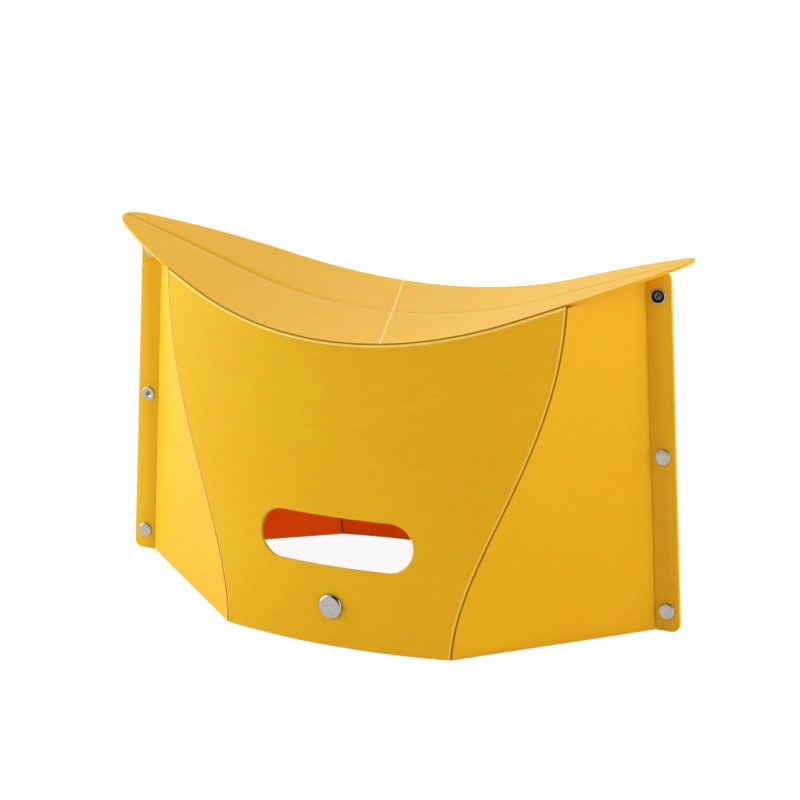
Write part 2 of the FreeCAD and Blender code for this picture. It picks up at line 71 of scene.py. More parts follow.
FRONT, REAR = 1, -1
SIDES = (("left", -1), ("right", 1))
ENDS = (("front", FRONT), ("rear", REAR))
RIVET_ROWS = ("low", "middle", "top")
RING_IN_FRONT = {("left", "middle"), ("right", "top")}
SHEET_FINISHES = ("satin_sheet", "beaded_sheet", "inner_sheet")
OUTER, BEADED, INNER = range(3)
PLASTIC_IOR = 1.49
SMALL_STEP = 1e-4
EDGE = 0.0002
X_AXIS, Y_AXIS, Z_AXIS = Vector((1, 0, 0)), Vector((0, 1, 0)), Vector((0, 0, 1))


# Sizes and colours that a user would change

def length(name, description, default):
    """Property for a length in metres."""
    return FloatProperty(name=name, description=description, default=default, min=0,
                         unit="LENGTH", subtype="DISTANCE", precision=5)


def share(name, description, default, top=1.0):
    """Property for a number without a unit."""
    return FloatProperty(name=name, description=description, default=default, min=0, max=top)


def angle(name, description, degrees):
    """Property for an angle, given in degrees."""
    return FloatProperty(name=name, description=description, default=math.radians(degrees),
                         subtype="ANGLE")


def power(name, description, default):
    """Property for the power of a light in watts."""
    return FloatProperty(name=name, description=description, default=default, subtype="POWER",
                         min=0)


def colour(name, description, default):
    """Property for a linear colour."""
    return FloatVectorProperty(name=name, description=description, default=default,
                               subtype="COLOR", size=3, min=0, max=1)


class StoolSheetSizes(bpy.types.PropertyGroup):
    thickness: length("Thickness", "Plastic sheet, everywhere", 0.0019)
    gap: length("Fold gap", "Open width of a fold line", 0.0003)
    rim_round: length("Rim rounding", "Rounding of the seat's rim and the slot's rim", 0.0006)
    groove: length("Groove", "Half width of the groove along a fold line", 0.0006)
    groove_depth: length("Groove depth", "Deepest part of the groove", 0.0007)
    cut_round: length("Cut rounding", "Rounding of a cut edge", 0.0003)
    bead_height: length("Bead height", "Raised bead beside a fold line", 0.0003)
    bead_reach: length("Bead reach", "Middle of the bead from its fold line", 0.0012)
    web_depth: length("Web depth", "Hinge web below the face of the sheet", 0.001)
    web_thickness: length("Web thickness", "Thin hinge web in a fold line", 0.0004)
    score_width: length("Score width", "Pressed line across the seat", 0.0016)
    score_depth: length("Score depth", "Pressed line across the seat", 0.00022)


class StoolSeatSizes(bpy.types.PropertyGroup):
    height: length("Height", "Top of the seat at its middle", 0.18)
    tip_rise: length("Tip rise", "Seat tip above the middle of the seat", 0.0465)
    saddle_radius: length("Saddle radius", "Seat profile, middle arc", 0.29)
    half_length: length("Half length", "Middle to tip", 0.1816)
    half_depth: length("Half depth", "Middle fold to front edge", 0.0794)
    tip_radius: length("Tip radius", "Round tip of the outline", 0.0193)
    score_slant: length("Score slant", "Pressed line, end from the middle of the edge", 0.026)


class StoolPanelSizes(bpy.types.PropertyGroup):
    foot_half_width: length("Foot half width", "Centre panel at the floor", 0.0718)
    foot_half_depth: length("Foot half depth", "Corner of the centre panel at the floor", 0.0828)
    foot_bulge: length("Foot bulge", "Bow of the centre panel at the floor", 0.008)
    shoulder_half_width: length("Shoulder half width", "Centre panel at the seat", 0.1244)
    crease_bow: length("Crease bow", "Side fold line, bow at half height", 0.0047)
    crease_sway: length("Crease sway", "Side fold line, swing from low to high", 0.0138)
    crease_fade: length("Crease fade", "Side fold line, loss of bow at its ends", 0.0045)
    top_slope: length("Top slope", "Slope inside the top edge of a centre panel", 0.0034)
    mitre: share("Mitre", "Share of the thickness cut back inside a fold", 0.4)
    seat_mitre: share("Seat mitre", "The same for the seat's edge at its fold", 1.5, 2.0)
    top_lift: share("Top lift", "Share of the thickness that the outer top edge rises", 0.95)
    lift_reach: length("Lift reach", "Part of the panel below its top edge that rises", 0.02)
    # Share of the top bead's paleness that the side beads get: the top bead faces the light from
    # above, so part of the paleness is a painted highlight.
    side_bead_highlight_share: share("Pale share", "Paleness of a side bead against the top one", 0.5)
    slot_length: length("Slot length", "Hand slot", 0.096)
    slot_height: length("Slot height", "Hand slot", 0.029)
    slot_centre: length("Slot centre", "Hand slot above the floor", 0.063)


class StoolFlangeSizes(bpy.types.PropertyGroup):
    tip_overhang: length("Tip overhang", "Seat tip past the flange's fold line", 0.0286)
    splay: length("Splay", "Fold line further out at the floor", 0.0158)
    width: length("Width", "Fold line to free edge", 0.0157)
    foot_gap: length("Foot gap", "Flange above the floor", 0.0035)
    corner: length("Corner", "Rounding of the free corners", 0.005)
    tuck: length("Tuck", "Inner edge of the flange, past its outer edge", 0.00092)
    rivet_inset: length("Rivet inset", "Rivet from the fold line", 0.0081)
    rivet_low_rise: length("Low rivet rise", "Lowest rivet above the lower edge", 0.0129)
    rivet_top_drop: length("Top rivet drop", "Top rivet below the outer top corner", 0.0154)


class StoolRivetSizes(bpy.types.PropertyGroup):
    post_radius: length("Post radius", "Tubular post", 0.0015)
    cap_radius: length("Cap radius", "Domed head", 0.0049)
    cap_rim: length("Cap rim", "Head at its edge", 0.0007)
    cap_dome: length("Cap dome", "Head above its edge", 0.001)
    ring_radius: length("Ring radius", "Set end of a rivet", 0.0045)
    ring_height: length("Ring height", "Set end of a rivet", 0.0011)
    ring_bevel: length("Ring bevel", "Rolled edge of the set end", 0.0005)


class StoolStudSizes(bpy.types.PropertyGroup):
    centre_height: length("Centre height", "Press stud above the floor", 0.0249)
    clearance: length("Clearance", "Between the press stud and the bowed sheet", 0.00012)
    cap_radius: length("Cap radius", "Polished cap", 0.0075)
    cap_rim: length("Cap rim", "Cap at its edge", 0.0009)
    cap_dome: length("Cap dome", "Cap above its edge", 0.0016)
    base_radius: length("Base radius", "Inner half", 0.006)
    base_height: length("Base height", "Inner half", 0.0009)
    wall: length("Wall", "Wall of the socket", 0.0011)
    depth: length("Depth", "Depth of the socket", 0.0026)
    stud_radius: length("Stud radius", "Stud that enters the socket", 0.0046)
    play: length("Stud play", "Stud in its socket", 0.00006)


class StoolFinish(bpy.types.PropertyGroup):
    sheet: colour("Sheet", "Body colour of the plastic", (0.86, 0.44, 0.004))
    # Brighter copy of the sheet colour for the inner faces, with a deep glow: painted glow of
    # light shining through the sheet.
    inside_painted_glow: colour("Sheet inside", "Plastic that light shines through", (1.0, 0.55, 0.002))
    # Pale colour of plastic whitened by pressing and wear, also used for painted highlights on
    # beads and edges and a painted sheen on faces turned up.
    pale_press_wear_and_highlight: colour("Pale sheet", "Plastic that is pressed or worn", (1.0, 0.8, 0.28))
    # Web colour: painted shade, dark for the bottom of the grooves along the fold lines.
    web: colour("Web", "Thin plastic in a fold line", (0.34, 0.09, 0.002))
    metal: colour("Metal", "Plated steel of rivets and press stud", (0.405, 0.38, 0.36))
    sheet_roughness: share("Sheet roughness", "Satin gloss of the plastic", 0.42)
    metal_roughness: share("Metal roughness", "Gloss of the plated steel", 0.2)
    grain: length("Grain", "Size of the pebbled grain", 0.0006)


class StoolStudio(bpy.types.PropertyGroup):
    azimuth: angle("Azimuth", "Camera round the stool", 22.823)
    elevation: angle("Elevation", "Camera above the floor", 16.251)
    roll: angle("Roll", "Camera about its own axis", 0.088)
    distance: length("Distance", "Camera to the middle of the stool", 1.1379)
    aim_across: length("Aim across", "Middle of the view, along the seat", 0.00469)
    aim_height: length("Aim height", "Middle of the view, above the floor", 0.1197)
    lens: FloatProperty(name="Lens", description="Focal length in millimetres", default=81.85)
    surround: share("Surround", "Level of the soft light from all round", 0.56, 5.0)
    key_power: power("Key power", "Soft light at the left", 17.4)
    fill_power: power("Fill power", "Soft light at the right", 10.0)
    back_power: power("Back power", "Soft light behind", 10.4)
    light_size: length("Light size", "Side of each soft square light", 1.2)
    floor_half_width: length("Floor half width", "Pale floor under the stool", 6.0)


GROUPS = {
    "sheet": StoolSheetSizes, "seat": StoolSeatSizes, "panels": StoolPanelSizes,
    "flanges": StoolFlangeSizes, "rivets": StoolRivetSizes, "stud": StoolStudSizes,
    "finish": StoolFinish, "studio": StoolStudio,
}


def sizes(group):
    """Property group of one family of sizes."""
    return getattr(bpy.context.scene, "stool_" + group)


# Finishes

class Wire:
    """Value in a node tree that can be used in sums like a number."""

    def __init__(self, tree, socket):
        self.tree, self.socket = tree, socket

    def math(self, operation, first, second):
        made = self.tree.node("ShaderNodeMath", {"operation": operation}, {0: first, 1: second})
        return Wire(self.tree, made.outputs[0])

    def __add__(self, other):
        return self.math("ADD", self, other)

    def __sub__(self, other):
        return self.math("SUBTRACT", self, other)

    def __rsub__(self, other):
        return self.math("SUBTRACT", other, self)

    def __mul__(self, other):
        return self.math("MULTIPLY", self, other)

    def between(self, low, high):
        """0 at the low value and 1 at the high one, held outside them."""
        made = self.tree.node("ShaderNodeMapRange", {"clamp": True},
                              {"Value": self, "From Min": low, "From Max": high})
        return Wire(self.tree, made.outputs["Result"])

    __radd__ = __add__
    __rmul__ = __mul__


class Nodes:
    """Node tree that is filled one node at a time."""

    def __init__(self, owner):
        owner.use_nodes = True
        self.tree = owner.node_tree
        self.tree.nodes.clear()

    def node(self, kind, settings=None, sockets=None):
        """New node: its settings first, then the values or links of its sockets."""
        made = self.tree.nodes.new(kind)
        for key, value in (settings or {}).items():
            setattr(made, key, value)
        for key, value in (sockets or {}).items():
            value = value.socket if isinstance(value, Wire) else value
            if isinstance(value, bpy.types.NodeSocket):
                self.tree.links.new(value, made.inputs[key])
            elif made.inputs[key].type == "RGBA" and len(value) == 3:
                made.inputs[key].default_value = (*value, 1)
            else:
                made.inputs[key].default_value = value
        return made

    def value(self, kind, output, settings=None, sockets=None):
        """Output of a new node, for use in sums."""
        return Wire(self, self.node(kind, settings, sockets).outputs[output])

    def mixed(self, factor, first, second):
        """Colour between two colours."""
        made = self.node("ShaderNodeMix", {"data_type": "RGBA"}, {0: factor, 6: first, 7: second})
        return made.outputs[2]

    def spot(self, scale=(1, 1, 1)):
        """Place on the object in metres, stretched by a scale."""
        place = self.node("ShaderNodeTexCoord").outputs["Object"]
        return self.node("ShaderNodeMapping", None, {"Vector": place, "Scale": scale}).outputs[0]

    def noise(self, spot, scale, detail=2.0, roughness=0.5):
        """Even noise from 0 to 1 at a place."""
        return self.value("ShaderNodeTexNoise", "Fac", None,
                          {"Vector": spot, "Scale": scale, "Detail": detail,
                           "Roughness": roughness})

    def surface(self, height, strength, distance, sockets):
        """Main shader with a bump of a height, wired to the material's output."""
        bump = self.node("ShaderNodeBump", None,
                         {"Strength": strength, "Distance": distance, "Height": height})
        shader = self.node("ShaderNodeBsdfPrincipled", None,
                           {**sockets, "Normal": bump.outputs[0]})
        self.node("ShaderNodeOutputMaterial", None, {"Surface": shader.outputs[0]})


def new_finish(name):
    """Empty material with its node tree."""
    material = bpy.data.materials.new(name)
    return material, Nodes(material)


def sheet_finish(name, body, pale, glow, glow_depth):
    """Satin plastic sheet: pebbled grain, soft clouds, faint draw streaks, paler edges from wear
    and a painted highlight, a painted sheen on faces turned up, pale beads with a painted
    highlight, and painted shade in the grooves.

    Glow is the share of light that goes through the plastic, and glow_depth how deep it goes."""
    finish = sizes("finish")
    material, nodes = new_finish(name)
    spot = nodes.spot()
    grain = nodes.noise(spot, 1 / finish.grain, 3, 0.6)
    clouds = nodes.noise(spot, 14, 3)
    streaks = nodes.noise(nodes.spot((3, 60, 60)), 6, 4, 0.65)
    scuffs = nodes.noise(nodes.spot((500, 90, 240)), 1, 5, 0.7).between(0.66, 0.8)
    # Convex edges turn paler: wear and a painted highlight.
    pointed = nodes.value("ShaderNodeNewGeometry", "Pointiness")
    edges = pointed.between(0.52, 0.6)
    tone = clouds.between(0.3, 0.7) * 0.5 + streaks.between(0.35, 0.65) * 0.5
    lighter = (min(1, body[0] * 1.02), body[1] * 1.12, body[2] * 1.5)
    shaded = nodes.mixed(tone, body, lighter)
    # Above 0: pale beads and score lines, whitened by pressing, with a painted highlight on the
    # beads. Below 0: painted shade in the grooves.
    pressed = nodes.value("ShaderNodeAttribute", "Fac", {"attribute_name": "pressed"})
    # Faces turned up turn paler: a painted sheen.
    up = nodes.value("ShaderNodeSeparateXYZ", "Z", None,
                     {0: nodes.node("ShaderNodeNewGeometry").outputs["Normal"]})
    # Mix towards the pale colour: edges from wear and a painted highlight, beads whitened by
    # pressing and with a painted highlight, score lines whitened by pressing, scuffs from wear,
    # faces turned up from a painted sheen.
    wear_and_painted_light = edges * 0.2 + pressed.between(0, 1) * 0.95 + scuffs * 0.03 + up.between(0.7, 1) * 0.06
    tinted = nodes.mixed(wear_and_painted_light, shaded, pale)
    # Painted shade: the grooves along the fold lines darken towards the web colour.
    tinted = nodes.mixed(pressed.between(0, -1), tinted, finish.web)
    rough = finish.sheet_roughness + grain * 0.08 + clouds * 0.05 - scuffs * 0.05
    nodes.surface(grain, 0.12, finish.grain / 4, {
        "Base Color": tinted, "Roughness": rough, "IOR": PLASTIC_IOR, "Specular IOR Level": 0.15,
        "Subsurface Weight": glow, "Subsurface Radius": (1.0, 0.1, 0.03),
        "Subsurface Scale": glow_depth})
    return material


def web_painted_shade_finish(name):
    """Thin stretched plastic in the fold lines, darker than the sheet: painted shade at the bottom
    of the grooves.
    """
    finish = sizes("finish")
    material, nodes = new_finish(name)
    spot = nodes.spot()
    stretch = nodes.noise(spot, 900, 3)
    clouds = nodes.noise(spot, 60, 2)
    tinted = nodes.mixed(stretch * 0.25 + clouds * 0.1, finish.web, finish.sheet)
    nodes.surface(stretch, 0.2, 0.0001, {
        "Base Color": tinted, "Roughness": 0.5 + stretch * 0.1, "IOR": PLASTIC_IOR})
    return material


def metal_finish(name, roughness, darkening=0.0):
    """Plated steel: fine turning marks, small dull spots, edges rubbed brighter."""
    finish = sizes("finish")
    material, nodes = new_finish(name)
    spot = nodes.spot()
    marks = nodes.noise(spot, 2600, 4, 0.7)
    dull = nodes.noise(spot, 420, 3).between(0.52, 0.72)
    pointed = nodes.value("ShaderNodeNewGeometry", "Pointiness").between(0.52, 0.62)
    # Darkening makes a near-black copy: painted shade for the rivets' hollows.
    shade = tuple(value * (1 - darkening) for value in finish.metal)
    dark = tuple(value * 0.55 for value in shade)
    bright = tuple(value + (1 - value) * 0.5 for value in shade)
    tinted = nodes.mixed(dull * 0.35, shade, dark)
    tinted = nodes.mixed(pointed * 0.6, tinted, bright)
    rough = roughness + dull * 0.14 + marks * 0.06
    nodes.surface(marks, 0.05, 0.00005,
                  {"Base Color": tinted, "Metallic": 1.0, "Roughness": rough})
    return material


def finish_of(name):
    """Finish of the sheet, the webs or the metal, made the first time that it is asked for."""
    finish = sizes("finish")
    rough = finish.metal_roughness
    maker, values = {
        "satin_sheet": (sheet_finish, (finish.sheet, finish.pale_press_wear_and_highlight, 0.2, 0.002)),
        # Inner faces: a brighter copy with a deep glow, painted glow of light shining through.
        "inner_sheet": (sheet_finish, (finish.inside_painted_glow, finish.sheet, 0.9, 0.012)),
        # Bead faces: the same sheet without glow, so that they render paler: whitened by pressing
        # and a painted highlight.
        "beaded_sheet": (sheet_finish, (finish.sheet, finish.pale_press_wear_and_highlight, 0.0, 0.002)),
        # Painted shade: the dark webs at the bottom of the fold lines.
        "fold_web": (web_painted_shade_finish, ()),
        "plated_steel": (metal_finish, (rough,)),
        "polished_steel": (metal_finish, (rough / 2,)),
        # Painted shade: near-black steel for the rivets' hollows.
        "tarnished_steel": (metal_finish, (rough * 1.5, 0.96)),
    }[name]
    return bpy.data.materials.get(name) or maker(name, *values)


# Shape of the sheet

def wing_angle():
    """Slope of the straight wings beyond the saddle's arc."""
    seat = sizes("seat")
    rise = seat.saddle_radius - seat.tip_rise
    return (math.asin(seat.saddle_radius / math.hypot(seat.half_length, rise))
            - math.atan(rise / seat.half_length))


def seat_surface_height(x, depth=0.0):
    """Height of the seat above the floor at x, a given depth below its top surface."""
    seat = sizes("seat")
    radius = seat.saddle_radius + depth
    wing = wing_angle()
    arc_end = radius * math.sin(wing)
    centre = seat.height + seat.saddle_radius
    if abs(x) <= arc_end:
        return centre - math.sqrt(radius * radius - x * x)
    return centre - radius * math.cos(wing) + (abs(x) - arc_end) * math.tan(wing)


def seat_edge_radius():
    """Radius of the long arc of the seat's outline."""
    seat = sizes("seat")
    spread = seat.half_length ** 2 + seat.half_depth ** 2
    return ((spread - 2 * seat.half_length * seat.tip_radius)
            / (2 * (seat.half_depth - seat.tip_radius)))


def seat_edge_depth(x):
    """Half depth of the seat at x, on the long arc of its outline."""
    radius = seat_edge_radius()
    return math.sqrt(radius * radius - x * x) - (radius - sizes("seat").half_depth)


def side_crease(height):
    """Point of the right front side fold line at a height: a straight line with an S in it."""
    panels = sizes("panels")
    shoulder_x = panels.shoulder_half_width
    along = height / seat_surface_height(shoulder_x)
    swing = 2 * along - 1
    bow = panels.crease_bow + panels.crease_sway * swing - panels.crease_fade * swing * swing
    foot = Vector((panels.foot_half_width, -panels.foot_half_depth, 0))
    shoulder = Vector((shoulder_x, -seat_edge_depth(shoulder_x), 0))
    to_flange = Vector((flange_crease(0).x, 0, 0)) - foot
    lean = (to_flange.normalized() + X_AXIS).normalized()
    point = foot + (shoulder - foot) * along + lean * (4 * along * (1 - along) * bow)
    return Vector((point.x, point.y, height))


def panel_ceiling(x):
    """Height of a panel's top edge: one fold gap under the seat's lower face."""
    sheet = sizes("sheet")
    return seat_surface_height(x, sheet.thickness) - sheet.gap


def seat_fold_share(x):
    """How much the seat's edge is mitred at x: wholly a little past its fold, then less."""
    past, fade = 0.0055, 0.0035
    return max(0, min(1, (sizes("panels").shoulder_half_width + past - abs(x)) / fade))


def centre_panel_point(across, up):
    """Outer face of the front centre panel: the patch that its four edges span."""
    panels = sizes("panels")

    def low(along):
        bow = panels.foot_bulge * (1 - (2 * along - 1) ** 2)
        return Vector((panels.foot_half_width * (2 * along - 1), -panels.foot_half_depth - bow, 0))

    def high(along):
        x = panels.shoulder_half_width * (2 * along - 1)
        return Vector((x, -seat_edge_depth(x), panel_ceiling(x)))

    right = side_crease(panel_ceiling(panels.shoulder_half_width) * up)
    left = mirrored(right, (-1, 1))
    between_ends = low(across) * (1 - up) + high(across) * up
    between_sides = left * (1 - across) + right * across
    corners = (low(0) * ((1 - across) * (1 - up)) + low(1) * (across * (1 - up))
               + high(0) * ((1 - across) * up) + high(1) * (across * up))
    return between_ends + between_sides - corners


def flange_crease(height):
    """Point of the right flange's fold line at a height, in the middle plane."""
    flanges, seat = sizes("flanges"), sizes("seat")
    reach = seat.half_length - flanges.tip_overhang + flanges.splay
    lean = flanges.splay / (seat.height + seat.tip_rise)
    return Vector((reach - lean * height, 0, height))


def side_panel_point(across, up):
    """Outer face of the right front side panel, from the side fold line to the flange."""
    seat, thickness = sizes("seat"), sizes("sheet").thickness
    shoulder = sizes("panels").shoulder_half_width
    foot_gap = sizes("flanges").foot_gap
    near = side_crease(panel_ceiling(shoulder) * up)
    far_ceiling = panel_ceiling(flange_crease(seat.height + seat.tip_rise).x)
    far = flange_crease(foot_gap * (1 - up) + far_ceiling * up)
    ceiling = panel_ceiling(shoulder * (1 - across) + far.x * across)
    bend = math.atan2(-near.y, far.x - near.x)
    far_edge = far + Vector((thickness * math.tan(bend / 2), -thickness, 0))
    point = near * (1 - across) + far_edge * across
    return Vector((point.x, point.y, foot_gap * across * (1 - up) + ceiling * up))


def inward(surface, across, up):
    """Unit normal of a surface that points into the stool."""
    step = 0.002
    along = surface(across + step, up) - surface(across - step, up)
    rise = surface(across, up + step) - surface(across, up - step)
    return rise.cross(along).normalized()


def borders_at(i, j, columns, rows, names):
    """Borders that a point of a grid is on. Names: first and last column, first and last row."""
    met = (i == 0, i == columns - 1, j == 0, j == rows - 1)
    return [name for name, here in zip(names, met) if here]


def mirrored(point, signs):
    """Point with its x and y turned by two signs."""
    return Vector((point.x * signs[0], point.y * signs[1], point.z))


class Skins:
    """Outer and inner points of a piece of sheet, its faces, and the borders of each point."""

    def __init__(self):
        self.outer, self.inner, self.borders, self.faces = [], [], [], []
        self.pressed = []

    def add(self, outer, inner, borders=(), pressed=(0.0, 0.0)):
        """Add a point to both skins. Its number is returned.

        The pair of values, outside and inside, is 1 for pale plastic on a bead, whitened by
        pressing and with a painted highlight, and -1 for painted shade in a groove."""
        self.outer.append(outer)
        self.inner.append(inner)
        self.borders.append(set(borders))
        self.pressed.append(pressed)
        return len(self.outer) - 1

    def solid(self, name, rolls, signs=(1, 1), inside=OUTER):
        """Closed piece between the skins, mirrored by its signs.

        Rolls are the rounding of each border, outside and inside. Inside is the number of the
        finish that the inner skin wears."""
        widest = max(max(pair) for pair in rolls.values())
        made = bmesh.new()
        weight = made.edges.layers.float.new("bevel_weight_edge")
        paleness = made.verts.layers.float.new("pressed")
        outer, inner = ([made.verts.new(mirrored(point, signs)) for point in points]
                        for points in (self.outer, self.inner))
        for above, below, values in zip(outer, inner, self.pressed):
            above[paleness], below[paleness] = values
        turned = signs[0] * signs[1] < 0
        walls = set()
        for corners in self.faces:
            walls.update(zip(corners, corners[1:] + corners[:1]))

        def face(corners):
            added = made.faces.new(corners[::-1] if turned else corners)
            added.smooth = True
            return added

        for corners in self.faces:
            tone = sum(self.pressed[k][0] for k in corners) / len(corners)
            # Pale bead faces wear the finish without glow, a painted highlight.
            face([outer[k] for k in corners]).material_index = BEADED if tone > 0.3 else OUTER
            face([inner[k] for k in reversed(corners)]).material_index = inside
        for start, end in sorted(walls):
            if (end, start) in walls:
                continue
            face([outer[end], outer[start], inner[start], inner[end]])
            shared_borders = self.borders[start] & self.borders[end]
            roll = rolls[sorted(shared_borders)[0]]
            made.edges.get((outer[start], outer[end]))[weight] = roll[0] / widest
            made.edges.get((inner[start], inner[end]))[weight] = roll[1] / widest
        for k, names in enumerate(self.borders):
            if len(names) > 1 and all(rolls[border][0] for border in names):
                made.edges.get((outer[k], inner[k]))[weight] = sizes("sheet").cut_round / widest
        return finished(name, made, [finish_of(kind) for kind in SHEET_FINISHES], widest)


def finished(name, made, finishes, roll=0.0):
    """Object from a mesh in the making, with its weighted edges rounded by the roll at most."""
    mesh = bpy.data.meshes.new(name)
    made.to_mesh(mesh)
    made.free()
    for finish in finishes:
        mesh.materials.append(finish)
    piece = bpy.data.objects.new(name, mesh)
    bpy.context.collection.objects.link(piece)
    if roll:
        bevel = piece.modifiers.new("rounding", "BEVEL")
        bevel.limit_method = "WEIGHT"
        bevel.width = roll
        bevel.segments = 3
        bevel.harden_normals = True
        graph = bpy.context.evaluated_depsgraph_get()
        rounded = bpy.data.meshes.new_from_object(piece.evaluated_get(graph), depsgraph=graph)
        piece.modifiers.clear()
        piece.data = rounded
        rounded.name = name
        rounded.set_sharp_from_angle(angle=math.radians(42))
    return piece


def flat_plane(side, end):
    """Plane that a panel lies flat in when the stool is shut: its normal and a point on it."""
    if side == "centre":
        normal = Vector((0, 0.98498, -0.17265 * end))
        return normal, normal * (-0.055184 * end)
    if side == "seat":
        return Vector((0, 0.062988 * end, 0.998014)), Z_AXIS * panel_ceiling(0)
    normal = Vector((-0.47756 * dict(SIDES)[side], 0.87797 * end, -0.03331))
    return normal, normal * -0.080612


def press_flat(piece, side, end):
    """Give a piece of sheet its own copy of its mesh. The plane that it would lie flat in when the
    stool shuts is found but not used.
    """
    normal, anchor = flat_plane(side, end)
    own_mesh(piece)


def settle(piece, body, node):
    """Let a piece ride on a body, and hide the node that it stands for."""
    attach(piece, body)
    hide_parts(node)


# Seat

def seat_plan_point(along, deep):
    """Plan of the front half of the seat, at shares along it and from its fold to its edge."""
    seat, gap = sizes("seat"), sizes("sheet").gap
    radius = seat_edge_radius()
    tip_centre = seat.half_length - seat.tip_radius
    drop = radius - seat.half_depth
    tip_end = tip_centre + math.sqrt(seat.tip_radius ** 2 - (gap / 2) ** 2)
    join_angle = math.atan2(drop, tip_centre)
    corner_share = 0.55
    corner_angle = join_angle * corner_share

    def tip(turn):
        """Point of the round tip, from the fold at 0 to the corner of the grid at 1."""
        y = seat.tip_radius * math.sin(corner_angle * turn) + gap / 2 * (1 - turn)
        return Vector((tip_centre + seat.tip_radius * math.cos(corner_angle * turn), -y, 0))

    corner = tip(1)

    def front(x):
        """Point of the seat's edge at x, on its long arc or past it on the round tip."""
        if abs(x) <= radius * math.sin(math.pi / 2 - join_angle):
            return Vector((x, -seat_edge_depth(x), 0))
        past = abs(x) - tip_centre
        return Vector((x, -math.sqrt(max(0, seat.tip_radius ** 2 - past ** 2)), 0))

    along += seat.score_slant * deep / (2 * seat.half_length) * (1 - (2 * along - 1) ** 2)
    swing = 2 * along - 1
    fold = Vector((tip_end * swing, -gap / 2, 0))
    edge = front(corner.x * swing)
    right, other = tip(deep), (-1, 1)
    ends = (fold * (1 - deep) + edge * deep + mirrored(right, other) * (1 - along)
            + right * along)
    inner = Vector((tip_end, -gap / 2, 0))
    corners = (mirrored(inner, other) * ((1 - along) * (1 - deep)) + inner * (along * (1 - deep))
               + mirrored(corner, other) * ((1 - along) * deep) + corner * (along * deep))
    return ends - corners


def scored_columns(count, half_width):
    """Shares across a piece, with five close ones round a pressed line at the middle."""
    score = sizes("sheet").score_width / (4 * half_width)
    shares = [k / count for k in range(count + 1) if abs(k / count - 0.5) > 3 * score]
    return sorted(shares + [0.5 - 2 * score, 0.5 - score, 0.5, 0.5 + score, 0.5 + 2 * score])


def score_depth(across, half_width):
    """Depth of the pressed line at a share across a piece."""
    sheet = sizes("sheet")
    reach = abs(across - 0.5) * 2 * half_width / (sheet.score_width / 2)
    return sheet.score_depth * max(0, 1 - reach)


def grid_faces(columns, rows, skipped=()):
    """Faces of a grid whose points are numbered column by column."""
    faces = []
    for i in range(columns - 1):
        for j in range(rows - 1):
            if (i, j) not in skipped:
                k = i * rows + j
                faces.append([k, k + 1, k + rows + 1, k + rows])
    return faces


def seat_skins():
    """Front half of the seat, with a groove along its fold and a pressed line across it."""
    seat, sheet, panels = sizes("seat"), sizes("sheet"), sizes("panels")
    skins = Skins()
    columns = scored_columns(110, seat.half_length)
    groove = sheet.groove * 0.6
    for i, along in enumerate(columns):
        score = score_depth(along, seat.half_length)
        whole = -seat_plan_point(along, 1).y
        rows = (0, groove / 2 / whole, groove / whole, 0.13, 0.3, 0.5, 0.7, 0.84,
                1 - 2 * sheet.rim_round / whole, 1)
        for j, deep in enumerate(rows):
            plan = seat_plan_point(along, deep)
            fade = min(1, 0.1 + (plan.x / (seat.half_length * 0.75)) ** 2)
            sunk = max(0, 1 - j / 2) * fade
            joined = j == len(rows) - 1 and abs(plan.x) < panels.shoulder_half_width
            borders = borders_at(i, j, len(columns), len(rows), ("left", "right", "fold", "front"))
            top = Vector((plan.x, plan.y, seat_surface_height(plan.x) - score
                          - sheet.groove_depth * sunk))
            low = Vector((plan.x, plan.y, seat_surface_height(plan.x, sheet.thickness)))
            if j >= len(rows) - 2:
                cut_back = panels.seat_mitre * sheet.thickness * seat_fold_share(plan.x)
                low.y += cut_back * (1 if borders else 0.85)
            # Tones: pale along the score line across the seat; painted shade in the groove along
            # the middle fold, darker towards the tips; painted shade on the inner skin where the
            # seat's front edge joins the centre panel.
            skins.add(top, low, borders,
                      (score / sheet.score_depth - 0.8 * sunk, -0.6 * joined))
    skins.faces = [face[::-1] for face in grid_faces(len(columns), len(rows))]
    return skins


class StoolSeat(bpy.types.Operator):
    """Make the two halves of the saddle seat"""
    bl_idname = "stool.seat"
    bl_label = "Seat"

    def execute(self, context):
        sheet = sizes("sheet")
        skins = seat_skins()
        rim = (sheet.rim_round, sheet.cut_round)
        rolls = {"fold": (0, 0), "front": rim, "left": rim, "right": rim}
        for word, end in ENDS:
            piece = skins.solid("seat_" + word + "_sheet", rolls, (end, end))
            settle(piece, "seat_" + word, "seat_" + word + "_half")
            press_flat(piece, "seat", end)
        return {"FINISHED"}


# Centre panels

def pulled(across, up, start, end, drop):
    """Shares moved in from the borders, by insets that fade away in a sixth of the panel."""
    near = start * max(0, 1 - 6 * across) - end * max(0, 1 - 6 * (1 - across))
    return across + near, up - drop * max(0, 1 - 6 * (1 - up))


def bead(distance, bare=False, shallow=1):
    """Rise of the sheet at a distance from a fold line, and its tone there: pale on the bead,
    whitened by pressing and with a painted highlight, and painted shade in the groove.

    A bare fold line has the groove alone. Shallow is a share of the groove's depth."""
    sheet = sizes("sheet")
    reach = sheet.bead_reach
    share_in = max(0, 1 - distance / sheet.groove)
    rise = -sheet.groove_depth * shallow * share_in * share_in * (3 - 2 * share_in)
    # Painted shade in the groove.
    tone = -min(0.8, 1.4 * share_in)
    if not bare:
        hump = math.exp(-((distance - reach) / (0.36 * reach)) ** 2)
        dip = 0.2 * math.exp(-((distance - 1.9 * reach) / (0.3 * reach)) ** 2)
        rise += sheet.bead_height * (hump - dip)
        tone += hump
    return rise, tone


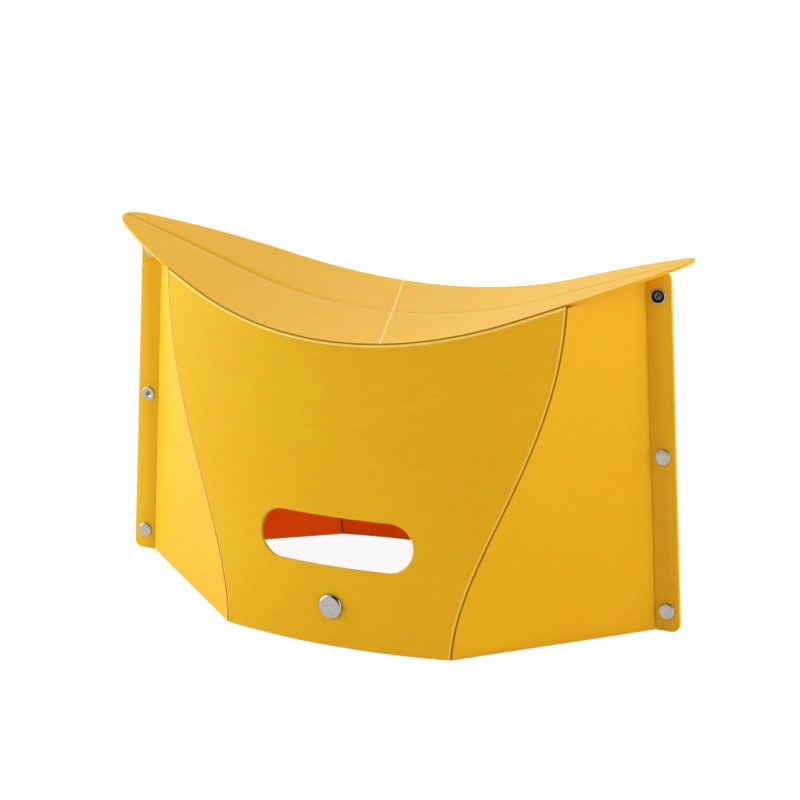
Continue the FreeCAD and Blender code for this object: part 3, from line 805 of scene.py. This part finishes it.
def panel_points(surface, width, across, up, inset, drop, rise):
    """Outer and inner point of a panel at a share across and up.

    Inset is how far the inner face is cut back at its first and last column, and drop the
    share that it is cut back at the top. Rise is the bead or groove in the outer face."""
    sheet = sizes("sheet")
    full = width(up)
    half_gap = sheet.gap / 2 / full
    outer_shares = pulled(across, up, half_gap, half_gap, 0)
    outer = surface(*outer_shares)
    if rise:
        outer -= inward(surface, *outer_shares) * rise
    inner_shares = pulled(across, up, inset[0] / full, inset[1] / full, drop)
    base = surface(*inner_shares)
    inner = base + inward(surface, *inner_shares) * sheet.thickness
    if up == 0:
        inner.z = base.z
    return outer, inner


def slot_rings(skins, skipped, at, width, columns, rows):
    """Rings of faces from a block left out of the grid to the rim of the hand slot."""
    panels = sizes("panels")
    (first, last), (low, high) = skipped
    border = ([(i, low) for i in range(first, last)] + [(last, j) for j in range(low, high)]
              + [(i, high) for i in range(last, first, -1)]
              + [(first, j) for j in range(high, low, -1)])
    radius = panels.slot_height / 2
    bar = panels.slot_length / 2 - radius

    def shares_at(x, z, across, up):
        """Shares of the panel's point at x and z, found from a first guess."""
        for _ in range(12):
            miss = centre_panel_point(across, up)
            across += (x - miss.x) / width(up)
            up += (z - miss.z) / panel_ceiling(0)
        return across, up

    loops = [[i * len(rows) + j for i, j in border]]
    starts, ends = [], []
    for i, j in border:
        across, up = columns[i], rows[j]
        point = centre_panel_point(across, up)
        foot = Vector((max(-bar, min(bar, point.x)), panels.slot_centre))
        aim = Vector((point.x, point.z)) - foot
        rim = foot + aim.normalized() * radius
        starts.append(Vector((across, up)))
        ends.append(Vector(shares_at(rim.x, rim.y, across, up)))
    rings = 6
    for ring in range(1, rings + 1):
        reach = 1 - (1 - ring / rings) ** 1.6
        loop = []
        for start, end in zip(starts, ends):
            spot = start.lerp(end, reach)
            outer, inner, tone = at(spot.x, spot.y)
            borders = ("slot",) if ring == rings else ()
            loop.append(skins.add(outer, inner, borders, (tone, 0.0)))
        loops.append(loop)
    for wide, tight in zip(loops, loops[1:]):
        for k in range(len(border)):
            after = (k + 1) % len(border)
            skins.faces.append([wide[k], tight[k], tight[after], wide[after]])


def centre_skins():
    """Front centre panel with its hand slot and a bead along its fold lines."""
    panels, sheet = sizes("panels"), sizes("sheet")
    reach = sheet.bead_reach
    beside = [reach * k for k in (0, 0.17, 0.33, 0.5, 0.7, 1, 1.3, 1.6, 1.9, 2.3, 3.2)]

    def width(up):
        return 2 * side_crease(panel_ceiling(panels.shoulder_half_width) * up).x

    mitred = sheet.gap / 2 + panels.mitre * sheet.thickness
    drop = panels.top_slope / sizes("seat").height

    def at(across, up):
        """Points of both skins, and the tone of the outer one there: pale on a bead, painted shade
        in a groove.
        """
        aside, under = min(across, 1 - across) * width(up), (1 - up) * panel_ceiling(0)
        distance = min(aside, under)
        shallow = 0.5 if under <= aside else 1
        rise, tone = bead(distance, shallow=shallow) if distance < 4 * reach else (0, 0)
        # Side beads get only a share of the paleness: a painted highlight that is strongest on the
        # top bead, which faces up.
        if aside < under and tone > 0:
            tone *= panels.side_bead_highlight_share
        outer, inner = panel_points(centre_panel_point, width, across, up, (mitred, mitred),
                                    drop, rise)
        lift = panels.top_lift * sheet.thickness
        outer.z += lift * max(0, 1 - under / panels.lift_reach)
        return outer, inner, tone

    skins = Skins()
    count = 50
    columns = ([(0, step) for step in beside] + [(k / count, 0) for k in range(2, count - 1)]
               + [(1, -step) for step in reversed(beside)])
    rows = ([k / count for k in range(count - 1)]
            + [1 - step / panel_ceiling(0) for step in reversed(beside)])
    for i, (along, shift) in enumerate(columns):
        for j, up in enumerate(rows):
            borders = borders_at(i, j, len(columns), len(rows), ("side", "side", "foot", "top"))
            outer, inner, tone = at(along + shift / width(up), up)
            skins.add(outer, inner, borders, (tone, 0.0))
    shares, margin = [along for along, shift in columns], 0.13
    first = min(i for i, across in enumerate(shares) if across > margin)
    last = max(i for i, across in enumerate(shares) if across < 1 - margin)
    low, high = 9, 26
    open_block = {(i, j) for i in range(first, last) for j in range(low, high)}
    skins.faces = grid_faces(len(columns), len(rows), open_block)
    slot_rings(skins, ((first, last), (low, high)), at, width, shares, rows)
    skins.faces = [face[::-1] for face in skins.faces]
    return skins


class StoolCentrePanels(bpy.types.Operator):
    """Make the bulging front and rear panels with their hand slots"""
    bl_idname = "stool.centre_panels"
    bl_label = "Centre panels"

    def execute(self, context):
        skins = centre_skins()
        sheet = sizes("sheet")
        cut, rim = (sheet.cut_round, sheet.cut_round), (sheet.rim_round, sheet.cut_round)
        rolls = {"side": (0, 0), "top": (0, 0), "foot": cut, "slot": rim}
        for word, end in ENDS:
            piece = skins.solid(word + "_centre_sheet", rolls, (1, end), INNER)
            settle(piece, word + "_centre", word + "_centre_panel")
            press_flat(piece, "centre", end)
        return {"FINISHED"}


# Side panels

def side_skins():
    """Right front side panel, with a groove along its fold to the centre panel."""
    panels, sheet = sizes("panels"), sizes("sheet")

    def width(up):
        return (side_panel_point(1, up) - side_panel_point(0, up)).length

    mitred = sheet.gap / 2 + panels.mitre * sheet.thickness
    drop = sheet.thickness / 2 / sizes("seat").height
    skins = Skins()
    count, rows = 26, 56
    columns = ([(0, sheet.groove * k) for k in (0, 0.33, 0.66, 1, 1.5)]
               + [(k / count, 0) for k in range(1, count + 1)])
    for i, (along, shift) in enumerate(columns):
        for j in range(rows + 1):
            borders = borders_at(i, j, len(columns), rows + 1, ("fold", "flange", "foot", "top"))
            across = along + shift / width(j / rows)
            rise, tone = bead(across * width(j / rows), bare=True)
            points = panel_points(side_panel_point, width, across, j / rows,
                                  (mitred, sheet.gap / 2), drop, rise)
            skins.add(*points, borders, (tone, 0.0))
    skins.faces = [face[::-1] for face in grid_faces(len(columns), rows + 1)]
    return skins


class StoolSidePanels(bpy.types.Operator):
    """Make the four twisted side panels"""
    bl_idname = "stool.side_panels"
    bl_label = "Side panels"

    def execute(self, context):
        small = (sizes("sheet").cut_round, sizes("sheet").cut_round)
        rolls = {"fold": (0, 0), "flange": small, "foot": small, "top": small}
        skins = side_skins()
        for word, end in ENDS:
            for side, sign in SIDES:
                name = word + "_" + side + "_side"
                piece = skins.solid(name + "_sheet", rolls, (sign, end), INNER)
                settle(piece, name, name + "_panel")
                press_flat(piece, side, end)
        return {"FINISHED"}


# Flanges

def flange_corners():
    """Corners of the right flange in its own plane, from the foot at the fold line round."""
    flanges, sheet = sizes("flanges"), sizes("sheet")
    foot_reach = flange_crease(0).x
    lean = foot_reach - flange_crease(1).x
    shoulder, half_length = sizes("panels").shoulder_half_width, sizes("seat").half_length
    tip_reach = half_length - flanges.tip_overhang
    bend = math.atan(seat_edge_depth(shoulder) / (tip_reach - shoulder))
    setback = sheet.gap + sheet.thickness * math.tan(bend / 2)
    slope = math.tan(wing_angle())
    ceiling = panel_ceiling(half_length) - slope * half_length

    def top_corner(out):
        height = (ceiling + slope * (foot_reach + out)) / (1 + slope * lean)
        return Vector((foot_reach + out - lean * height, height))

    def foot_corner(out):
        return Vector((foot_reach + out - lean * flanges.foot_gap, flanges.foot_gap))

    return [foot_corner(setback), foot_corner(flanges.width), top_corner(flanges.width),
            top_corner(setback)]


def rounded_outline(corners, radii, steps):
    """Closed outline through corners, some of them rounded by arcs."""
    outline = []
    for k, corner in enumerate(corners):
        before, after = corners[k - 1], corners[(k + 1) % len(corners)]
        if not radii[k]:
            outline.append(corner.copy())
            continue
        back, ahead = (before - corner).normalized(), (after - corner).normalized()
        half = math.acos(max(-1, min(1, back.dot(ahead)))) / 2
        centre = corner + (back + ahead).normalized() * (radii[k] / math.sin(half))
        start = corner + back * (radii[k] / math.tan(half)) - centre
        end = corner + ahead * (radii[k] / math.tan(half)) - centre
        turn = start.angle_signed(end)
        for step in range(steps + 1):
            cosine, sine = math.cos(-turn * step / steps), math.sin(-turn * step / steps)
            outline.append(centre + Vector((start.x * cosine - start.y * sine,
                                            start.x * sine + start.y * cosine)))
    return outline


class StoolFlanges(bpy.types.Operator):
    """Make the four end flanges, riveted back to back in pairs"""
    bl_idname = "stool.flanges"
    bl_label = "Flanges"

    def execute(self, context):
        sheet = sizes("sheet")
        corner, tuck = sizes("flanges").corner, sizes("flanges").tuck
        outline = rounded_outline(flange_corners(), (0, corner, corner, 0), 8)
        skins = Skins()
        for k, spot in enumerate(outline):
            folded = k in (0, len(outline) - 1)
            skins.add(Vector((spot.x, -sheet.thickness, spot.y)),
                      Vector((spot.x - tuck * folded, 0, spot.y)),
                      ["edge", "fold"] if folded else ["edge"])
        skins.faces = [list(range(len(outline)))]
        small = sheet.cut_round
        rolls = {"edge": (sheet.rim_round, small / 2), "fold": (small, small / 2)}
        for word, end in ENDS:
            for side, sign in SIDES:
                name = word + "_" + side + "_flange"
                piece = skins.solid(name + "_sheet", rolls, (sign, end))
                settle(piece, side + "_flanges", name)
        return {"FINISHED"}


# Hinge webs in the fold lines

def web_piece(name, run, depth, signs=(1, 1), finish="fold_web"):
    """Thin strip along a run of points, each with the ways across and into the sheet."""
    sheet = sizes("sheet")
    made = bmesh.new()
    rings = []
    for point, across, deep in run:
        ring = []
        for side, low in ((-1, 0), (0, 0), (1, 0), (1, 1), (0, 1), (-1, 1)):
            sag = 0.2 * depth if side == 0 else 0
            corner = (point + across * (side * sheet.gap * 0.75)
                      + deep * (depth + low * sheet.web_thickness + sag))
            ring.append(made.verts.new(mirrored(corner, signs)))
        rings.append(ring)
    for ring, after in zip(rings, rings[1:]):
        for k in range(len(ring)):
            n = (k + 1) % len(ring)
            made.faces.new([ring[k], ring[n], after[n], after[k]])
    made.faces.new(rings[0][::-1])
    made.faces.new(rings[-1])
    bmesh.ops.recalc_face_normals(made, faces=made.faces)
    piece = finished(name, made, [finish_of(finish)])
    return piece


def side_run():
    """Fold line between the centre panel and the side panel at the right in front."""
    panels = sizes("panels")
    full = panel_ceiling(panels.shoulder_half_width)
    foot, top = 0.004, 1 - panels.top_slope / sizes("seat").height
    run, steps, beside = [], 60, 1e-3
    for k in range(steps + 1):
        up = foot + (top - foot) * k / steps
        deep = (inward(centre_panel_point, 1 - beside, up)
                + inward(side_panel_point, beside, up)).normalized()
        along = side_crease(full * (up + beside)) - side_crease(full * (up - beside))
        run.append((side_crease(full * up), deep.cross(along.normalized()).normalized(), deep))
    return run


def flange_run():
    """Fold line between the side panel and the flange at the right in front."""
    low, high = flange_corners()[0].y, flange_corners()[3].y
    run, steps, margin = [], 60, 0.002
    for k in range(steps + 1):
        height = low + SMALL_STEP + (high - low - margin) * k / steps
        edge = side_panel_point(1, height / panel_ceiling(flange_crease(height).x))
        run.append((Vector((edge.x + sizes("sheet").gap / 2, edge.y, height)), X_AXIS, Y_AXIS))
    return run


def seat_edge_run():
    """Fold line between the seat and the front centre panel, just short of its corners."""
    reach, sheet = sizes("panels").shoulder_half_width, sizes("sheet")
    run, steps, step = [], 80, SMALL_STEP
    for k in range(steps + 1):
        x = reach * (2 * k / steps - 1) * 0.99
        height = seat_surface_height(x, 0.6 * sheet.thickness) - sheet.gap / 2
        slope = (seat_surface_height(x + step) - seat_surface_height(x - step)) / (2 * step)
        bow = (seat_edge_depth(x + step) - seat_edge_depth(x - step)) / (2 * step)
        run.append((Vector((x, -seat_edge_depth(x), height)),
                    Vector((-slope, 0, 1)).normalized(), Vector((bow, 1, 0)).normalized()))
    return run


def middle_run():
    """Fold line along the middle of the seat, just short of its tips."""
    reach = sizes("seat").half_length - 0.001
    run, steps = [], 120
    for k in range(steps + 1):
        x = reach * (2 * k / steps - 1)
        run.append((Vector((x, 0, seat_surface_height(x))), Y_AXIS, -Z_AXIS))
    return run


class StoolFoldWebs(bpy.types.Operator):
    """Make the thin hinge webs at the bottom of the fold lines"""
    bl_idname = "stool.fold_webs"
    bl_label = "Fold webs"

    def execute(self, context):
        depth = sizes("sheet").web_depth
        for word, end in ENDS:
            for side, sign in SIDES:
                name = word + "_" + side
                web = web_piece(name + "_side_web", side_run(), depth, (sign, end))
                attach(web, word + "_centre")
                press_flat(web, "centre", end)
                web = web_piece(name + "_flange_web", flange_run(), depth / 20, (sign, end),
                                "satin_sheet")
                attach(web, side + "_flanges")
            web = web_piece(word + "_seat_web", seat_edge_run(), depth * 1.4, (1, end))
            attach(web, "seat_" + word)
            press_flat(web, "seat", end)
        web = web_piece("seat_middle_web", middle_run(), depth * 0.7)
        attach(web, "seat_front")
        press_flat(web, "seat", FRONT)
        return {"FINISHED"}


# Turned metal pieces

def turned_piece(name, outline, place, finishes, turns=48, hollow=(0, 0)):
    """Piece turned round its own axis from an outline of radius and height, then put in place.

    Faces within the hollow's radius and height wear the second finish."""
    made = bmesh.new()
    rings = []
    for spot in outline:
        if spot.x < 1e-7:
            rings.append([made.verts.new(place @ Vector((0, 0, spot.y)))])
            continue
        ring = []
        for k in range(turns):
            turn = 2 * math.pi * k / turns
            corner = Vector((spot.x * math.cos(turn), spot.x * math.sin(turn), spot.y))
            ring.append(made.verts.new(place @ corner))
        rings.append(ring)
    closed = len(rings[0]) > 1
    pairs = list(zip(rings, rings[1:])) + ([(rings[-1], rings[0])] if closed else [])
    for ring, after in pairs:
        for k in range(turns):
            n = (k + 1) % turns
            corners = dict.fromkeys((ring[k % len(ring)], ring[n % len(ring)],
                                     after[n % len(after)], after[k % len(after)]))
            if len(corners) > 2:
                made.faces.new(list(corners))
    bmesh.ops.recalc_face_normals(made, faces=made.faces)
    back = place.inverted()
    for face in made.faces:
        face.smooth = True
        spots = [back @ corner.co for corner in face.verts]
        if all(spot.xy.length < hollow[0] and spot.z < hollow[1] for spot in spots):
            face.material_index = 1
    piece = finished(name, made, finishes)
    piece.data.set_sharp_from_angle(angle=math.radians(35))
    return piece


def domed(radius, rim, dome, face, sag):
    """Half outline of a domed cap from its middle to its underside, which is at zero.

    Face is the share of the radius that is nearly flat, and sag how far that part falls."""
    outline = []
    inner, steps, bends = radius * face, 10, 8
    for k in range(steps + 1):
        across = inner * (k / steps) ** 0.7
        outline.append(Vector((across, rim + dome - sag * (across / inner) ** 3)))
    edge = outline[-1].y
    for k in range(1, bends + 1):
        turn = math.pi / 2 * k / bends
        outline.append(Vector((inner + (radius - inner) * math.sin(turn),
                               edge - (edge - rim * 0.3) * (1 - math.cos(turn)))))
    outline.append(Vector((radius - rim * 0.25, 0)))
    return outline


def rivet_place(sign, row):
    """Middle of a rivet's axis at the flanges' joint face, at the side that the sign says."""
    flanges = sizes("flanges")
    low = flanges.foot_gap + flanges.rivet_low_rise
    top = flange_corners()[2].y - flanges.rivet_top_drop
    height = low + (top - low) * RIVET_ROWS.index(row) / 2
    return Vector((sign * (flange_crease(height).x + flanges.rivet_inset), 0, height))


def facing(point, outward):
    """Place at a point whose own Z axis points outwards."""
    turn = outward.to_track_quat("Z", "Y").to_matrix().to_4x4()
    return Matrix.Translation(point) @ turn


def rivet_cap_outline(hollow_end):
    """Head, tubular post and the end of the post. The underside is at zero."""
    rivets, sheet = sizes("rivets"), sizes("sheet")
    reach = 2 * sheet.thickness + rivets.ring_height - rivets.ring_bevel
    post, bore = rivets.post_radius, rivets.post_radius * 0.62
    outline = domed(rivets.cap_radius, rivets.cap_rim, rivets.cap_dome, 0.88, 0.0006)
    outline += [Vector((post, 0)), Vector((post, -reach + EDGE)), Vector((post - EDGE, -reach))]
    if hollow_end:
        outline += [Vector((bore, -reach)), Vector((bore, -reach + 0.0016)),
                    Vector((0, -reach + 0.0018))]
    else:
        outline += [Vector((post * 0.8, -reach)), Vector((0, -reach + 0.0004))]
    return outline


def rivet_ring_outline(dished):
    """Set end of a rivet: a rolled ring, dished towards its hole."""
    rivets = sizes("rivets")
    radius, height, bevel = rivets.ring_radius, rivets.ring_height, rivets.ring_bevel
    bore, bends = rivets.post_radius + 0.00005, 5
    outline = [Vector((bore, 0)), Vector((radius - EDGE, 0)), Vector((radius, EDGE))]
    for k in range(bends + 1):
        turn = math.pi / 2 * k / bends
        outline.append(Vector((radius - bevel * (1 - math.cos(turn)),
                               height - bevel * (1 - math.sin(turn)))))
    if dished:
        shares, last = ((0.86, 0.98), (0.82, 0.66), (0.74, 0.34), (0.55, 0.2)), 0.16
    else:
        shares, last = ((0.75, 0.99), (0.58, 0.93), (0.46, 0.78)), 0.55
    outline += [Vector((radius * across, height * level)) for across, level in shares]
    return outline + [Vector((bore, height * last))]


class StoolRivets(bpy.types.Operator):
    """Make the six rivets through the end flanges"""
    bl_idname = "stool.rivets"
    bl_label = "Rivets"

    def execute(self, context):
        thickness, rivets = sizes("sheet").thickness, sizes("rivets")
        # The dark steel is painted shade: the post's end and bore inside the set end's hole, and
        # the dished face of each top set end.
        steel, dark = finish_of("plated_steel"), finish_of("tarnished_steel")
        for side, sign in SIDES:
            for row in RIVET_ROWS:
                name = side + "_" + row + "_rivet"
                top, middle = row == "top", rivet_place(sign, row)
                outward = Y_AXIS * (1 if (side, row) in RING_IN_FRONT else -1)
                cap = turned_piece(name + "_head", rivet_cap_outline(not top),
                                   facing(middle + outward * thickness, outward), [steel, dark],
                                   hollow=(rivets.cap_radius, -thickness))
                settle(cap, side + "_flanges", name + "_cap")
                ring = turned_piece(name + "_set_end", rivet_ring_outline(top),
                                    facing(middle - outward * thickness, -outward),
                                    [steel, dark if top else steel],
                                    hollow=(rivets.ring_radius * 0.87, thickness))
                settle(ring, side + "_flanges", name + "_ring")
        return {"FINISHED"}


def stud_cap_outline():
    """Polished cap with the post behind it that goes through the sheet."""
    stud = sizes("stud")
    post, reach = 0.002, sizes("sheet").thickness + 2 * stud.clearance
    return domed(stud.cap_radius, stud.cap_rim, stud.cap_dome, 0.76, 0.00015) + [
        Vector((post, 0)), Vector((post, -reach - 0.0008)), Vector((0, -reach - 0.0009))]


def stud_half_outline(kind):
    """Inner half of the press stud: a flat base with the socket or the stud on it."""
    stud = sizes("stud")
    hole, rim, radius = 0.0021, stud.base_radius, stud.stud_radius
    bore, wall = radius + stud.play, stud.wall
    base, end = stud.base_height, stud.base_height + stud.depth
    shapes = {
        "socket": ((bore + wall, base + 0.0003), (bore + wall, end - 0.0004),
                   (bore + wall * 0.75, end - 0.0001), (bore + wall * 0.5, end),
                   (bore + EDGE, end - 0.0001), (bore, end - 0.0005), (bore, base)),
        "stud": ((radius * 0.94, base), (radius * 0.9, end * 0.5), (radius, end * 0.72),
                 (radius * 0.97, end - 0.0005), (radius * 0.85, end - 0.0001), (0.0034, end),
                 (0.0029, end - EDGE), (0.0024, base)),
    }
    return [Vector(pair) for pair in (
        (hole, 0), (rim - EDGE, 0), (rim, EDGE), (rim, base - EDGE), (rim - EDGE, base),
        *shapes[kind], (hole, base))]


class StoolPressStud(bpy.types.Operator):
    """Make the press stud: caps front and rear, socket and stud inside"""
    bl_idname = "stool.press_stud"
    bl_label = "Press stud"

    def execute(self, context):
        stud, thickness = sizes("stud"), sizes("sheet").thickness
        up = stud.centre_height / panel_ceiling(0)
        for word, end in ENDS:
            centre = mirrored(centre_panel_point(0.5, up), (1, end))
            inner = mirrored(inward(centre_panel_point, 0.5, up), (1, end))
            cap = turned_piece(word + "_stud_cap", stud_cap_outline(),
                               facing(centre - inner * stud.clearance, -inner),
                               [finish_of("polished_steel")], 64)
            kind = "socket" if end == FRONT else "stud"
            back = turned_piece(word + "_press_" + kind, stud_half_outline(kind),
                                facing(centre + inner * (thickness + stud.clearance), inner),
                                [finish_of("plated_steel")])
            for piece, node in ((cap, "cap"), (back, kind)):
                settle(piece, word + "_centre", word + "_snap_" + node)
                press_flat(piece, "centre", end)
        return {"FINISHED"}


# Stage

def stage_light(name, at, watts, tint=(1, 1, 1)):
    """Soft square light that points at the stool."""
    light = bpy.data.lights.new(name, "AREA")
    light.shape = "SQUARE"
    light.size = sizes("studio").light_size
    light.energy = watts
    light.color = tint
    lamp = bpy.data.objects.new(name, light)
    lamp.location = at
    target = Vector((0, 0, 0.1))
    lamp.rotation_euler = (target - Vector(at)).to_track_quat("-Z", "Y").to_euler()
    bpy.context.collection.objects.link(lamp)
    return lamp


def background_rays(nodes):
    """1 for what the camera sees straight, in a mirror or through glass, otherwise 0."""
    path = nodes.node("ShaderNodeLightPath")
    seen = Wire(nodes, path.outputs["Is Camera Ray"])
    for name in ("Is Glossy Ray", "Is Transmission Ray"):
        seen = seen + Wire(nodes, path.outputs[name])
    return seen.between(0, 1)


def stage_floor():
    """Pale floor that shows white to the camera and keeps the stool's shadow."""
    half = sizes("studio").floor_half_width
    made = bmesh.new()
    bmesh.ops.create_grid(made, x_segments=12, y_segments=12, size=half)
    material, nodes = new_finish("pale_floor")
    seen = background_rays(nodes)
    mottle = nodes.noise(nodes.spot(), 3, 3).between(0.2, 0.8)
    plain = nodes.node("ShaderNodeBsdfDiffuse", None,
                       {"Color": nodes.mixed(mottle, (0.80, 0.80, 0.80), (0.82, 0.82, 0.81))})
    shaded = nodes.node("ShaderNodeBsdfDiffuse", None, {"Color": (0.3, 0.3, 0.3)})
    lift = nodes.node("ShaderNodeEmission", None, {"Color": (1, 1, 1), "Strength": 0.92})
    shown = nodes.node("ShaderNodeAddShader", None, {0: shaded.outputs[0], 1: lift.outputs[0]})
    mixed = nodes.node("ShaderNodeMixShader", None,
                       {0: seen, 1: plain.outputs[0], 2: shown.outputs[0]})
    nodes.node("ShaderNodeOutputMaterial", None, {"Surface": mixed.outputs[0]})
    floor = finished("floor", made, [material])
    floor.location.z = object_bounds()[0][2] - 0.0002
    floor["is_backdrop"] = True


def stage_world():
    """Even soft light. The camera and mirrors see a white room with a dark card at the right."""
    world = bpy.data.worlds.new("studio")
    bpy.context.scene.world = world
    nodes = Nodes(world)
    seen = background_rays(nodes)
    level = sizes("studio").surround
    soft = nodes.node("ShaderNodeBackground", None, {"Color": (1, 0.92, 0.88), "Strength": level})
    card = Vector((0.56, -0.40, 0.72)).normalized()
    towards = nodes.value("ShaderNodeVectorMath", "Value", {"operation": "DOT_PRODUCT"},
                          {0: nodes.node("ShaderNodeTexCoord").outputs["Generated"], 1: card})
    shade = nodes.mixed(towards.between(0.64, 0.68), (1, 1, 1), (0.01, 0.01, 0.01))
    white = nodes.node("ShaderNodeBackground", None, {"Color": shade, "Strength": 1.0})
    mixed = nodes.node("ShaderNodeMixShader", None,
                       {0: seen, 1: soft.outputs[0], 2: white.outputs[0]})
    nodes.node("ShaderNodeOutputWorld", None, {"Surface": mixed.outputs[0]})


def stage_camera():
    """Camera of the photograph, turned round the stool and aimed beside its middle."""
    studio = sizes("studio")
    turn, tilt, roll = studio.azimuth, studio.elevation, studio.roll
    back = Vector((math.sin(turn) * math.cos(tilt), -math.cos(turn) * math.cos(tilt),
                   math.sin(tilt)))
    right = Vector((math.cos(turn), math.sin(turn), 0))
    up = back.cross(right)
    place = right * studio.aim_across + up * studio.aim_height + back * studio.distance
    across = right * math.cos(roll) + up * math.sin(roll)
    upright = up * math.cos(roll) - right * math.sin(roll)
    lens = bpy.data.cameras.new("camera")
    lens.lens = studio.lens
    lens.sensor_width = 36
    camera = bpy.data.objects.new("camera", lens)
    axes = Matrix((across, upright, back)).transposed().to_4x4()
    camera.matrix_world = Matrix.Translation(place) @ axes
    bpy.context.collection.objects.link(camera)
    bpy.context.scene.camera = camera


class StoolStage(bpy.types.Operator):
    """Make the floor, soft lights, world and camera"""
    bl_idname = "stool.stage"
    bl_label = "Stage"

    def execute(self, context):
        studio = sizes("studio")
        stage_floor()
        stage_world()
        stage_light("key_light", (-1.33, -0.48, 0.61), studio.key_power, (0.76, 1, 1))
        stage_light("fill_light", (1.41, 0, 0.61), studio.fill_power)
        back = stage_light("back_light", (-0.71, 1.22, 0.61), studio.back_power)
        back.visible_glossy = False
        stage_camera()
        context.scene.view_settings.view_transform = "Standard"
        return {"FINISHED"}


OPERATORS = (StoolSeat, StoolCentrePanels, StoolSidePanels, StoolFlanges, StoolFoldWebs,
             StoolRivets, StoolPressStud, StoolStage)


class StoolPanel(bpy.types.Panel):
    """Buttons that make the pieces of the stool"""
    bl_idname = "VIEW3D_PT_stool"
    bl_label = "Stool"
    bl_space_type = "VIEW_3D"
    bl_region_type = "UI"
    bl_category = "Stool"

    def draw(self, context):
        for operator in OPERATORS:
            self.layout.operator(operator.bl_idname)
        for key, group in GROUPS.items():
            box = self.layout.box()
            for name in group.__annotations__:
                box.prop(getattr(context.scene, "stool_" + key), name)


def register():
    for group in GROUPS.values():
        bpy.utils.register_class(group)
    for key, group in GROUPS.items():
        setattr(bpy.types.Scene, "stool_" + key, PointerProperty(type=group))
    for made in OPERATORS + (StoolPanel,):
        bpy.utils.register_class(made)


def unregister():
    for made in OPERATORS + (StoolPanel,):
        bpy.utils.unregister_class(made)
    for key, group in GROUPS.items():
        delattr(bpy.types.Scene, "stool_" + key)
        bpy.utils.unregister_class(group)


def main():
    register()
    for operator in OPERATORS:
        family, name = operator.bl_idname.split(".")
        getattr(getattr(bpy.ops, family), name)()


if __name__ == "__main__":
    main()
